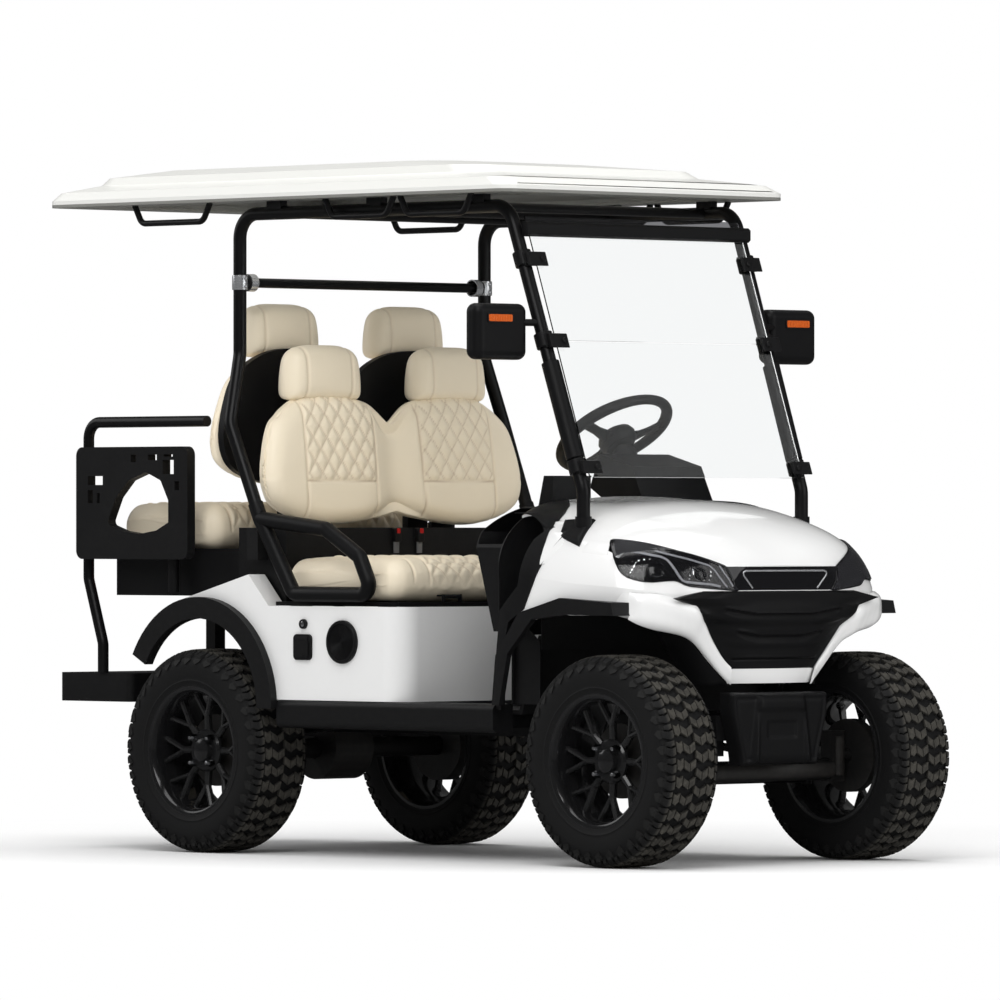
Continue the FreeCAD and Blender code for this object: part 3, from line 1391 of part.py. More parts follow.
def main():
    os.makedirs("parts", exist_ok=True)
    wheels()
    save("chassis_frame", chassis())
    save("rear_axle", rear_axle())
    save("leaf_springs", *springs())
    save("front_axle", front_axle())
    save("knuckle_left", knuckle())
    save("knuckle_right", other_side(knuckle()))
    save("tie_rod", tie_rod())
    cowl, grille, strip, lamps = front_end()
    save("front_cowl", cowl)
    save("grille", grille)
    save("nose_strip", strip)
    save("headlights", *lamps)
    save("cowl_trims", *side_trims())
    save("fender_flares", *front_flares(), *rear_flares())
    save("sills", *sills())
    save("front_bumper", front_bumper())
    save("rear_body", rear_body())
    save("seat_deck", deck())
    save("seat_legs", *seat_legs())
    save("side_fittings", *side_fittings())
    save("floor_pan", floor_pan())
    save("dashboard", dashboard())
    save("steering_wheel", steering_wheel())
    save("roof_frame", roof_frame())
    save("roof_panel", roof_panel())
    save("pillar_boots", *pillar_boots())
    save("windscreen", *windscreen())
    save("windscreen_fittings", *windscreen_fittings())
    save("mirrors", *mirrors())
    save("roof_handles", *roof_handles())
    save("roof_crossbar", roof_crossbar())
    seats()
    save("hip_restraints", *hip_restraints())
    save("armrest_panels", *armrests())
    save("armrest_rails", *armrest_rails())
    save("rear_footplate", footplate())
    small_fittings()
    save("battery_pack", battery_pack())


main()
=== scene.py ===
# Golf cart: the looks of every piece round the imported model, in metres, laid out as a Blender add-on.
import json
import math
import bmesh
import bpy
import numpy as np
from mathutils import Matrix, Vector
from mathutils.bvhtree import BVHTree


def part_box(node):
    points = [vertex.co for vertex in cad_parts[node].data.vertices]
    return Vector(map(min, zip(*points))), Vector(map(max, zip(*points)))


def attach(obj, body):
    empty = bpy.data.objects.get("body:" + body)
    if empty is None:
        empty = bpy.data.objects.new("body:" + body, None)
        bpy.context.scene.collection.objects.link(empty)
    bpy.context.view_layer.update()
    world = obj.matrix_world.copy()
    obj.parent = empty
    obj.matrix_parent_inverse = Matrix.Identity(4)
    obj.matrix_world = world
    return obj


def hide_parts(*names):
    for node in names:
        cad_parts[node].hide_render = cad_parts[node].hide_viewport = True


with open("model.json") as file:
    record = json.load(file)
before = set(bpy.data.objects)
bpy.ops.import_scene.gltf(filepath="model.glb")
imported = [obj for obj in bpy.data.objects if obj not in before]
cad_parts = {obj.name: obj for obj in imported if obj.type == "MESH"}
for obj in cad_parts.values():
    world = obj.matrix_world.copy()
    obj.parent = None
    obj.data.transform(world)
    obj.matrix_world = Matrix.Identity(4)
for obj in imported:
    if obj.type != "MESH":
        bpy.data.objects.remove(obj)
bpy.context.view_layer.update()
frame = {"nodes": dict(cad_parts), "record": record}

bl_info = {
    "name": "Golf cart",
    "version": (1, 0, 0),
    "blender": (4, 5, 0),
    "location": "View3D > Sidebar > Golf cart",
    "description": "Builds a four-seat golf cart's surfaces, upholstery, tyres, lamps and studio",
    "category": "Object",
}

NODES = frame["nodes"]
AXLE_Z = 0.295
FRONT_AXLE_X = 1.021
REAR_AXLE_X = -0.653
WHEEL_Y = 0.4625

# Camera, solved from the photograph
CAMERA_PLACE = (19.015, -18.167, 0.958)
CAMERA_AIM = (-0.7221, 0.6918, 0.0)
CAMERA_LENS = 328.3
CAMERA_SHIFT = 0.0215

# The roof's painted shade under its lip stops, and the windscreen's smoky strip starts, at these heights
ROOF_SHADE_Z = 1.8885
TINT_Z = 1.798


class CartColours(bpy.types.PropertyGroup):
    """The colours that a user would change."""
    body: bpy.props.FloatVectorProperty(
        name="Body", description="Gloss body panels", subtype="COLOR", size=3, min=0, max=1,
        default=(0.84, 0.84, 0.835))
    roof: bpy.props.FloatVectorProperty(
        name="Roof", description="Moulded roof", subtype="COLOR", size=3, min=0, max=1,
        default=(0.74, 0.74, 0.71))
    leather: bpy.props.FloatVectorProperty(
        name="Leather", description="Seat upholstery", subtype="COLOR", size=3, min=0, max=1,
        default=(0.93, 0.82, 0.63))
    stitch: bpy.props.FloatVectorProperty(
        name="Stitching", description="Seams and quilting thread", subtype="COLOR", size=3, min=0, max=1,
        default=(0.56, 0.43, 0.29))
    plastic: bpy.props.FloatVectorProperty(
        name="Black plastic", description="Grained mouldings", subtype="COLOR", size=3, min=0, max=1,
        default=(0.0055, 0.0055, 0.006))
    metal: bpy.props.FloatVectorProperty(
        name="Black metal", description="Powder-coated tubes", subtype="COLOR", size=3, min=0, max=1,
        default=(0.004, 0.004, 0.0045))
    rubber: bpy.props.FloatVectorProperty(
        name="Rubber", description="Tyres", subtype="COLOR", size=3, min=0, max=1,
        default=(0.0075, 0.0075, 0.0078))
    dust: bpy.props.FloatVectorProperty(
        name="Dust", description="Dust on the tread blocks", subtype="COLOR", size=3, min=0, max=1,
        default=(0.10, 0.092, 0.076))


class CartSizes(bpy.types.PropertyGroup):
    """The sizes of the trim that a user would change."""
    lugs: bpy.props.IntProperty(
        name="Tread blocks", description="Blocks round each tyre in one row", default=38, min=12, max=60)
    quilt: bpy.props.FloatProperty(
        name="Quilt pitch", description="Width of one quilted diamond", default=0.052, min=0.02, max=0.12,
        unit="LENGTH")
    seam: bpy.props.FloatProperty(
        name="Seam width", description="Width of a sewn channel", default=0.005, min=0.002, max=0.02,
        unit="LENGTH")
    puff: bpy.props.FloatProperty(
        name="Quilt puff", description="How far a quilted diamond stands proud", default=0.0055, min=0.0,
        max=0.015, unit="LENGTH")


def colours():
    """The scene's colour settings."""
    return bpy.context.scene.cart_colours


def sizes():
    """The scene's size settings."""
    return bpy.context.scene.cart_sizes


# Shader node groups


def new_group(name, inputs, outputs):
    """An empty shader node group with named sockets, given as (name, kind, default)."""
    group = bpy.data.node_groups.new(name, "ShaderNodeTree")
    for label, kind, default in inputs:
        socket = group.interface.new_socket(label, in_out="INPUT", socket_type=kind)
        socket.default_value = default
    for label, kind in outputs:
        group.interface.new_socket(label, in_out="OUTPUT", socket_type=kind)
    start = group.nodes.new("NodeGroupInput")
    end = group.nodes.new("NodeGroupOutput")
    return group, start, end


def object_place(tree):
    """Where a point lies in the cart."""
    return tree.nodes.new("ShaderNodeTexCoord").outputs["Object"]


def painted(tree, name):
    """A mask painted on the mesh's points."""
    node = tree.nodes.new("ShaderNodeAttribute")
    node.attribute_name = name
    return node.outputs["Fac"]


def math_node(tree, operation, a, b):
    """A maths node fed by sockets or plain numbers."""
    node = tree.nodes.new("ShaderNodeMath")
    node.operation = operation
    for slot, value in zip(node.inputs, (a, b)):
        if isinstance(value, (int, float)):
            slot.default_value = value
        else:
            tree.links.new(value, slot)
    return node.outputs[0]


def noise_node(tree, coordinates, scale, detail):
    """A noise texture at a scale given by a socket or a number."""
    node = tree.nodes.new("ShaderNodeTexNoise")
    node.inputs["Detail"].default_value = detail
    if isinstance(scale, (int, float)):
        node.inputs["Scale"].default_value = scale
    else:
        tree.links.new(scale, node.inputs["Scale"])
    tree.links.new(coordinates, node.inputs["Vector"])
    return node.outputs["Fac"]


def grain_group():
    """Moulded grain: a fine pebble height with a slow change of roughness."""
    inputs = [("Scale", "NodeSocketFloat", 900.0), ("Roughness", "NodeSocketFloat", 0.45),
              ("Spread", "NodeSocketFloat", 0.1)]
    group, start, end = new_group("Moulded grain", inputs, [("Height", "NodeSocketFloat"),
                                                           ("Roughness", "NodeSocketFloat")])
    place = object_place(group)
    cells = group.nodes.new("ShaderNodeTexVoronoi")
    group.links.new(place, cells.inputs["Vector"])
    group.links.new(start.outputs["Scale"], cells.inputs["Scale"])
    fine = noise_node(group, place, start.outputs["Scale"], 3.0)
    height = math_node(group, "ADD", cells.outputs["Distance"], fine)
    slow = noise_node(group, place, 4.0, 4.0)
    swing = math_node(group, "MULTIPLY", math_node(group, "SUBTRACT", slow, 0.5), start.outputs["Spread"])
    group.links.new(height, end.inputs["Height"])
    group.links.new(math_node(group, "ADD", start.outputs["Roughness"], swing), end.inputs["Roughness"])
    return group


def wear_group():
    """Edge wear and dust: a mask from pointiness and a mask that gathers on upward faces."""
    inputs = [("Edge", "NodeSocketFloat", 0.5), ("Dust", "NodeSocketFloat", 0.1),
              ("Scale", "NodeSocketFloat", 30.0)]
    group, start, end = new_group("Edge wear", inputs, [("Edge", "NodeSocketFloat"),
                                                        ("Dust", "NodeSocketFloat")])
    geometry = group.nodes.new("ShaderNodeNewGeometry")
    place = object_place(group)
    speckle = noise_node(group, place, start.outputs["Scale"], 6.0)
    pointed = math_node(group, "SUBTRACT", geometry.outputs["Pointiness"], 0.52)
    sharp = math_node(group, "MULTIPLY", pointed, 12.0)
    clamped = group.nodes.new("ShaderNodeClamp")
    group.links.new(math_node(group, "MULTIPLY", sharp, speckle), clamped.inputs["Value"])
    group.links.new(math_node(group, "MULTIPLY", clamped.outputs[0], start.outputs["Edge"]),
                    end.inputs["Edge"])
    split = group.nodes.new("ShaderNodeSeparateXYZ")
    group.links.new(geometry.outputs["Normal"], split.inputs[0])
    upward = math_node(group, "MAXIMUM", split.outputs["Z"], 0.0)
    lying = math_node(group, "MULTIPLY", math_node(group, "MULTIPLY", upward, speckle),
                      start.outputs["Dust"])
    group.links.new(lying, end.inputs["Dust"])
    return group


def leather_group():
    """Leather: a pebbled height, soft creases and a slow change of tone."""
    inputs = [("Scale", "NodeSocketFloat", 520.0), ("Tone", "NodeSocketFloat", 0.12)]
    group, start, end = new_group("Leather grain", inputs, [("Height", "NodeSocketFloat"),
                                                            ("Tone", "NodeSocketFloat")])
    place = object_place(group)
    cells = group.nodes.new("ShaderNodeTexVoronoi")
    cells.feature = "SMOOTH_F1"
    group.links.new(place, cells.inputs["Vector"])
    group.links.new(start.outputs["Scale"], cells.inputs["Scale"])
    creases = noise_node(group, place, 38.0, 8.0)
    height = math_node(group, "ADD", cells.outputs["Distance"], math_node(group, "MULTIPLY", creases, 0.6))
    slow = math_node(group, "SUBTRACT", noise_node(group, place, 7.0, 5.0), 0.5)
    tone = math_node(group, "MULTIPLY", slow, start.outputs["Tone"])
    group.links.new(height, end.inputs["Height"])
    group.links.new(tone, end.inputs["Tone"])
    return group


# Both filled once by build_materials
GROUPS = {}
MATERIALS = {}


def placed_group(tree, key, **values):
    """One of the shared groups in a material, with its own values."""
    node = tree.nodes.new("ShaderNodeGroup")
    node.node_tree = GROUPS[key]
    for label, value in values.items():
        node.inputs[label].default_value = value
    return node


def mixed(tree, factor, first, second):
    """A colour between two, by a factor socket."""
    node = tree.nodes.new("ShaderNodeMix")
    node.data_type = "RGBA"
    tree.links.new(factor, node.inputs["Factor"])
    for slot, value in ((node.inputs["A"], first), (node.inputs["B"], second)):
        if hasattr(value, "is_linked"):
            tree.links.new(value, slot)
        else:
            slot.default_value = (*value, 1.0)
    return node.outputs["Result"]


def bumped(tree, shader, height, strength, distance):
    """Feeds a height to the shader's normal."""
    bump = tree.nodes.new("ShaderNodeBump")
    bump.inputs["Strength"].default_value = strength
    bump.inputs["Distance"].default_value = distance
    tree.links.new(height, bump.inputs["Height"])
    tree.links.new(bump.outputs[0], shader.inputs["Normal"])


def start_material(name, **sockets):
    """A material with its Principled shader, the sockets given as plain values."""
    material = bpy.data.materials.new(name)
    material.use_nodes = True
    tree = material.node_tree
    shader = tree.nodes["Principled BSDF"]
    for label, value in sockets.items():
        shader.inputs[label.replace("_", " ").title().replace("Ior", "IOR")].default_value = value
    MATERIALS[name] = material
    return tree, shader


def surface_material(name, colour, worn, roughness, spread, grain, strength, edge, dust, coat=0.0,
                     metallic=0.0, specular=0.5):
    """A moulded or painted surface with grain, edge wear and a little dust."""
    tree, shader = start_material(name, metallic=metallic, coat_weight=coat, coat_roughness=0.06,
                                  specular_ior_level=specular)
    grains = placed_group(tree, "grain", Scale=grain, Roughness=roughness, Spread=spread)
    wear = placed_group(tree, "wear", Edge=edge, Dust=dust, Scale=60.0)
    base = mixed(tree, wear.outputs["Edge"], colour, worn)
    tree.links.new(mixed(tree, wear.outputs["Dust"], base, colours().dust), shader.inputs["Base Color"])
    tree.links.new(grains.outputs["Roughness"], shader.inputs["Roughness"])
    bumped(tree, shader, grains.outputs["Height"], strength, 0.0004)


def show_mix(tree, factor, first, second):
    """Shows one shader mixed into another by a factor."""
    mix = tree.nodes.new("ShaderNodeMixShader")
    for slot, socket in zip(mix.inputs, (factor, first, second)):
        tree.links.new(socket, slot)
    tree.links.new(mix.outputs[0], tree.nodes["Material Output"].inputs["Surface"])


def ray_masks(tree):
    """Two masks: what the camera sees, straight or through glass, and what other mirror rays see."""
    path = tree.nodes.new("ShaderNodeLightPath")
    seen = math_node(tree, "MAXIMUM", path.outputs["Is Camera Ray"], path.outputs["Is Transmission Ray"])
    unseen = math_node(tree, "SUBTRACT", 1.0, seen)
    return seen, math_node(tree, "MULTIPLY", path.outputs["Is Glossy Ray"], unseen)


def height_mask(tree, level):
    """1 above a height in the cart, 0 below it."""
    place = object_place(tree)
    split = tree.nodes.new("ShaderNodeSeparateXYZ")
    tree.links.new(place, split.inputs[0])
    return math_node(tree, "GREATER_THAN", split.outputs["Z"], level)


def below_painted(name, level, colour):
    """Gives a finish another colour below a height."""
    tree = MATERIALS[name].node_tree
    socket = tree.nodes["Principled BSDF"].inputs["Base Color"]
    upper = socket.links[0].from_socket
    tree.links.new(mixed(tree, height_mask(tree, level), colour, upper), socket)


def build_materials():
    """Every finish on the cart."""
    GROUPS.update(grain=grain_group(), wear=wear_group(), leather=leather_group())
    tint = colours()
    worn_white = tuple(c * 0.93 for c in tint.body)
    dull = (0.02, 0.02, 0.02)
    bare = (0.5, 0.5, 0.5)
    # Name, colour, worn colour, roughness and its spread, grain's scale and strength, edge wear, dust
    finishes = (
        ("body_white", tint.body, worn_white, 0.16, 0.05, 300.0, 0.02, 0.3, 0.0, {"coat": 0.6}),
        ("roof_white", tint.roof, worn_white, 0.30, 0.08, 700.0, 0.10, 0.3, 0.02, {}),
        ("black_plastic", tint.plastic, dull, 0.42, 0.12, 1100.0, 0.25, 0.35, 0.004, {"specular": 0.16}),
        ("gloss_black", (0.006, 0.006, 0.007), dull, 0.10, 0.03, 300.0, 0.01, 0.2, 0.0,
         {"coat": 0.4, "specular": 0.25}),
        ("black_metal", tint.metal, dull, 0.34, 0.1, 1500.0, 0.10, 0.3, 0.003, {"specular": 0.22}),
        ("axle_iron", (0.010, 0.010, 0.010), (0.05, 0.045, 0.04), 0.5, 0.2, 500.0, 0.4, 0.6, 0.04, {}),
        ("rim_black", (0.007, 0.007, 0.0075), (0.04, 0.04, 0.04), 0.18, 0.06, 600.0, 0.02, 0.3, 0.01,
         {"coat": 0.35, "specular": 0.3}),
        ("chrome", (0.72, 0.73, 0.75), bare, 0.10, 0.05, 400.0, 0.02, 0.2, 0.0, {"metallic": 1.0}),
        ("silver_line", (0.62, 0.63, 0.65), bare, 0.24, 0.05, 400.0, 0.02, 0.2, 0.0, {"metallic": 0.8}),
        ("red_lens", (0.42, 0.008, 0.006), (0.5, 0.05, 0.04), 0.12, 0.04, 300.0, 0.02, 0.2, 0.0,
         {"coat": 1.0}),
        ("orange_lens", (0.62, 0.10, 0.01), (0.6, 0.2, 0.05), 0.14, 0.04, 300.0, 0.02, 0.2, 0.0,
         {"coat": 1.0}),
        ("grey_strap", (0.11, 0.11, 0.115), (0.15, 0.15, 0.15), 0.7, 0.1, 1600.0, 0.5, 0.3, 0.05, {}),
        ("battery_case", (0.03, 0.03, 0.035), (0.08, 0.08, 0.08), 0.5, 0.1, 900.0, 0.3, 0.4, 0.1, {}),
        ("lamp_band", (0.56, 0.57, 0.62), (0.6, 0.6, 0.6), 0.25, 0.05, 400.0, 0.02, 0.2, 0.0,
         {"coat": 0.4}),
        ("lamp_white", (0.82, 0.82, 0.84), (0.8, 0.8, 0.8), 0.3, 0.05, 400.0, 0.02, 0.2, 0.0, {}),
    )
    for name, *values, extra in finishes:
        surface_material(name, *values, **extra)
    rubber_material()
    leather_material()
    glass_material("clear_glass", (0.20, 0.20, 0.21), 0.02)
    cover_material("clear_lens")
    # Painted shade: the white roof is dark grey below its lip, standing in for the shade under the roof
    below_painted("roof_white", ROOF_SHADE_Z, (0.20, 0.20, 0.185))
    below_painted("clear_glass", TINT_Z, (0.96, 0.975, 0.975))


def rubber_material():
    """Tyre rubber, with dusty tops on its tread blocks from a painted mask."""
    tint = colours()
    tree, shader = start_material("tyre_rubber", specular_ior_level=0.2)
    grains = placed_group(tree, "grain", Scale=420.0, Roughness=0.66, Spread=0.2)
    wear = placed_group(tree, "wear", Edge=0.5, Dust=0.08, Scale=45.0)
    dusty = noise_node(tree, object_place(tree), 60.0, 6.0)
    patch = math_node(tree, "MULTIPLY", painted(tree, "tread"), dusty)
    top = mixed(tree, patch, tint.rubber, tint.dust)
    tree.links.new(mixed(tree, wear.outputs["Edge"], top, (0.022, 0.022, 0.021)),
                   shader.inputs["Base Color"])
    tree.links.new(grains.outputs["Roughness"], shader.inputs["Roughness"])
    bumped(tree, shader, grains.outputs["Height"], 0.35, 0.0008)


def leather_material():
    """Cream leather, darker in its seams by a painted mask."""
    tint = colours()
    tree, shader = start_material("cream_leather", sheen_weight=0.12, coat_weight=0.06, coat_roughness=0.35)
    grain = placed_group(tree, "leather", Scale=560.0, Tone=0.5)
    shade = tuple(c * 0.92 for c in tint.leather)
    toned = mixed(tree, math_node(tree, "ADD", grain.outputs["Tone"], 0.25), tint.leather, shade)
    tree.links.new(mixed(tree, painted(tree, "seam"), toned, tint.stitch), shader.inputs["Base Color"])
    uneven = noise_node(tree, object_place(tree), 12.0, 4.0)
    rough = math_node(tree, "ADD", math_node(tree, "MULTIPLY", uneven, 0.16), 0.40)
    tree.links.new(rough, shader.inputs["Roughness"])
    bumped(tree, shader, grain.outputs["Height"], 0.28, 0.0006)


def glass_material(name, colour, roughness):
    """Clear acrylic: see-through, with a smooth glossy face."""
    tree, shader = start_material(name, transmission_weight=1.0, ior=1.45, roughness=roughness)
    haze = noise_node(tree, object_place(tree), 3.0, 3.0)
    hazy = mixed(tree, haze, colour, tuple(c * 0.985 for c in colour))
    tree.links.new(hazy, shader.inputs["Base Color"])


def cover_material(name):
    """A lamp's clear cover: see-through face on, and a gloss that grows at a slant."""
    tree, shader = start_material(name, roughness=0.03, coat_weight=1.0)
    shader.inputs["Base Color"].default_value = (0.05, 0.05, 0.055, 1.0)
    clear = tree.nodes.new("ShaderNodeBsdfTransparent")
    slant = tree.nodes.new("ShaderNodeFresnel")
    slant.inputs["IOR"].default_value = 1.5
    show_mix(tree, slant.outputs[0], clear.outputs[0], shader.outputs[0])


def dress_nodes():
    """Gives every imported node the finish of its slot."""
    slots = {part["node"]: part["material_slot"] for part in frame["record"]["subparts"]}
    for name, node in NODES.items():
        material = MATERIALS[slots[name]]
        if not node.material_slots:
            node.data.materials.append(material)
        for slot in node.material_slots:
            slot.material = material


# Mesh helpers


def make_object(name, vertices, faces, material, smooth=True, sharp=None):
    """A mesh object from points and faces, its normals outwards and its edges past an angle sharp."""
    mesh = bpy.data.meshes.new(name)
    mesh.from_pydata([tuple(v) for v in vertices], [], [tuple(f) for f in faces])
    form = bmesh.new()
    form.from_mesh(mesh)
    bmesh.ops.remove_doubles(form, verts=form.verts, dist=1e-5)
    bmesh.ops.recalc_face_normals(form, faces=form.faces)
    for face in form.faces:
        face.smooth = smooth
    form.to_mesh(mesh)
    form.free()
    mesh.materials.append(MATERIALS[material])
    if sharp:
        mesh.set_sharp_from_angle(angle=sharp)
    piece = bpy.data.objects.new(name, mesh)
    bpy.context.scene.collection.objects.link(piece)
    return piece


def together(name, pieces):
    """One object from several, their materials kept."""
    bpy.ops.object.select_all(action="DESELECT")
    for piece in pieces:
        piece.select_set(True)
    bpy.context.view_layer.objects.active = pieces[0]
    bpy.ops.object.join()
    pieces[0].name = name
    pieces[0].data.name = name
    return pieces[0]


def bevelled(piece, width, segments=2, angle=0.6):
    """Rounds the piece's sharp edges."""
    modifier = piece.modifiers.new("rounded", "BEVEL")
    modifier.width = width
    modifier.segments = segments
    modifier.limit_method = "ANGLE"
    modifier.angle_limit = angle
    modifier.harden_normals = True
    return piece


def settled(piece, body, slot_name, *nodes):
    """The piece rides its body and stands for its CAD nodes; the slot name is not used."""
    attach(piece, body)
    if nodes:
        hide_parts(*nodes)
    return piece


def add_piece(name, parts, material, *nodes, slot=None, smooth=True, sharp=None):
    """A piece of the root body from its parts, in its material; a slot given is passed on but not used."""
    piece = make_object(name, *gathered(parts), material, smooth, sharp)
    return settled(piece, "root", slot or material, *nodes)


def ring_faces(rings, sides, closed=False):
    """Faces between rings of points, the last ring joined to the first if closed."""
    faces = []
    for i in range(rings if closed else rings - 1):
        here, there = i * sides, (i + 1) % rings * sides
        faces += [(here + k, here + (k + 1) % sides, there + (k + 1) % sides, there + k)
                  for k in range(sides)]
    return faces


def end_faces(rings, sides):
    """The flat faces that close the first and the last ring."""
    return [tuple(range(sides)), tuple(range((rings - 1) * sides, rings * sides))]


def mirrored(parts):
    """The same pieces on the cart's other side."""
    return [([(x, -y, z) for x, y, z in some], those) for some, those in parts]


def both(parts):
    """Pieces of the right side with their mirror images."""
    return [*parts, *mirrored(parts)]


def turned_to(parts, place, way):
    """Pieces made about the Y axis, set at a place and facing a way."""
    turn = Vector((0, 1, 0)).rotation_difference(Vector(way)).to_matrix()
    return [([tuple(turn @ Vector(v) + Vector(place)) for v in some], those) for some, those in parts]


def turned(profile, steps):
    """Vertices and faces of a profile of radius and y, turned about the Y axis."""
    vertices = []
    for i in range(steps):
        turn = 2 * math.pi * i / steps
        vertices += [(r * math.sin(turn), y, r * math.cos(turn)) for r, y in profile]
    return vertices, ring_faces(steps, len(profile), closed=True)


def curve_through(points, steps):
    """Points along a smooth curve through the given ones."""
    points = [np.array(p, float) for p in points]
    ends = [2 * points[0] - points[1], *points, 2 * points[-1] - points[-2]]
    out = []
    for i in range(1, len(ends) - 2):
        p0, p1, p2, p3 = ends[i - 1:i + 3]
        for t in np.linspace(0, 1, steps, endpoint=False):
            out.append(0.5 * (2 * p1 + (p2 - p0) * t + (2 * p0 - 5 * p1 + 4 * p2 - p3) * t ** 2
                              + (3 * p1 - p0 - 3 * p2 + p3) * t ** 3))
    out.append(points[-1])
    return out


def bar(path, radius, sides=20, closed=False):
    """Vertices and faces of a round bar along a path of points, its ends closed."""
    path = [Vector(p) for p in path]
    count = len(path)
    vertices = []
    up = Vector((0, 0, 1))
    for i, at in enumerate(path):
        if closed:
            way = path[(i + 1) % count] - path[i - 1]
        else:
            way = path[min(i + 1, count - 1)] - path[max(i - 1, 0)]
        way.normalize()
        across = way.cross(up)
        if across.length < 0.2:
            across = way.cross(Vector((0, 1, 0)))
        across.normalize()
        up = across.cross(way)
        for k in range(sides):
            turn = 2 * math.pi * k / sides
            vertices.append(at + (across * math.cos(turn) + up * math.sin(turn)) * radius)
    ends = [] if closed else end_faces(count, sides)
    return vertices, ring_faces(count, sides, closed) + ends


def prism(outline, low, high, axis="y"):
    """Vertices and faces of an outline in the other two axes, drawn out from low to high along an axis."""
    k = "xyz".index(axis)
    vertices = [(*point[:k], w, *point[k:]) for w in (low, high) for point in outline]
    return vertices, end_faces(2, len(outline)) + ring_faces(2, len(outline))


def gathered(parts):
    """Several sets of vertices and faces as one."""
    vertices, faces = [], []
    for some, those in parts:
        start = len(vertices)
        vertices += [tuple(v) for v in some]
        faces += [tuple(start + i for i in face) for face in those]
    return vertices, faces


# Tyres

TREAD_HALF = 0.070
LUG_DEPTH = 0.010
LUG_FOOT = 0.2885
WALL_Y = 0.1045
WALL_START = 0.252
BEAD_RADIUS = 0.180
BARREL_RADIUS = 0.168


def crown(across):
    """The tread's outer radius at a distance from the tyre's middle."""
    past = max(0.0, abs(across) - TREAD_HALF)
    return AXLE_Z - 0.0012 * (across / TREAD_HALF) ** 2 - 12.0 * past ** 2 - 0.1 * past


def tread_block(stations, turn, side):
    """One block: stations are distance across, and the two ends along the tread, all in metres."""
    vertices = []
    shrink = 0.0012
    for depth, pull in ((LUG_DEPTH + 0.003, 0.0), (shrink, 0.0), (0.0, shrink)):
        for n, (across, start, end) in enumerate(stations):
            edge = pull if n == 0 else (-pull if n == len(stations) - 1 else 0.0)
            radius = crown(across) - depth
            for along in (start + pull, end - pull):
                angle = turn + along / AXLE_Z
                vertices.append((radius * math.sin(angle), side * (across + edge),
                                 radius * math.cos(angle)))
    count = len(stations) * 2
    rim_line = [n * 2 for n in range(len(stations))] + [n * 2 + 1 for n in reversed(range(len(stations)))]
    faces = []
    for level in (0, 1):
        here, there = level * count, (level + 1) * count
        for a, b in zip(rim_line, rim_line[1:] + rim_line[:1]):
            faces.append((here + a, here + b, there + b, there + a))
    for level in (0, 2):
        for n in range(len(stations) - 1):
            start = level * count + n * 2
            faces.append((start, start + 1, start + 3, start + 2))
    return vertices, faces


def tread_pattern():
    """The blocks of one pitch and one side: centre chevron, second chevron, shoulder lug and side ridge."""
    return (((0.0012, -0.011, 0.011), (0.022, 0.001, 0.023)),
            ((0.0245, 0.003, 0.025), (0.0455, -0.009, 0.013)),
            ((0.049, -0.014, 0.012), (0.060, -0.006, 0.022), (0.071, -0.012, 0.016)),
            ((0.075, 0.003, 0.024), (0.086, 0.007, 0.030), (0.094, 0.005, 0.026), (0.1015, 0.003, 0.021)),
            ((0.077, -0.016, -0.002), (0.088, -0.014, 0.002), (0.096, -0.013, -0.002)))


def tyre_mesh(name, flip):
    """A tyre about the origin: a rounded carcass with side ribs, and blocks all round."""
    half = [(BEAD_RADIUS, 0.088), (0.186, 0.0965), (0.192, 0.0985), (0.200, 0.1015), (0.2035, 0.1035),
            (0.207, 0.1025), (0.222, 0.1045), (0.240, 0.1055), (0.252, 0.1045), (0.262, 0.1015),
            (0.270, 0.0965), (0.276, 0.0885), (0.2805, 0.078), (0.2835, 0.060), (0.2845, 0.030),
            (0.2848, 0.0)]
    outside = [tuple(p) for p in curve_through(half, 3)]
    inside = [(r - 0.010, y - 0.010) for r, y in half[:-1:3]] + [(0.274, 0.0)]
    profile = outside + [(r, -y) for r, y in reversed(outside[:-1])]
    profile += [(r, -y) for r, y in inside] + [(r, y) for r, y in reversed(inside[:-1])]
    parts = [turned(profile, 114)]
    count = sizes().lugs
    for i in range(count):
        for side in (1, -1):
            turn = 2 * math.pi * (i + (0.5 if side > 0 else 0.0)) / count
            parts += [tread_block(stations, turn, side) for stations in tread_pattern()]
            parts.append(side_ridge(turn, side))
    tyre = make_object(name, *gathered(mirrored(parts) if flip else parts), "tyre_rubber", sharp=0.55)
    heights = [(math.hypot(v.co.x, v.co.z) - LUG_FOOT) / 0.003 for v in tyre.data.vertices]
    mask = tyre.data.attributes.new("tread", "FLOAT", "POINT")
    mask.data.foreach_set("value", np.clip(heights, 0, 1))
    return tyre


def side_ridge(turn, side):
    """One raised tooth where the tread runs down the sidewall."""
    outline = ((0.250, -0.006), (0.262, 0.012), (0.276, 0.014), (0.276, -0.010), (0.262, -0.014))
    vertices = []
    for lift in (-0.004, 0.0035):
        for radius, along in outline:
            wall = WALL_Y - max(0.0, radius - WALL_START) ** 2 * 22.0 + lift
            angle = turn + (0.4 * math.pi / sizes().lugs) + along / radius
            vertices.append((radius * math.sin(angle), side * wall, radius * math.cos(angle)))
    return vertices, end_faces(2, len(outline)) + ring_faces(2, len(outline))


# Wheels

SPOKES = 8
NUTS = 4
NUT_CIRCLE = 0.0508
FACE_Y = 0.058
DISH_Y = FACE_Y - 0.016


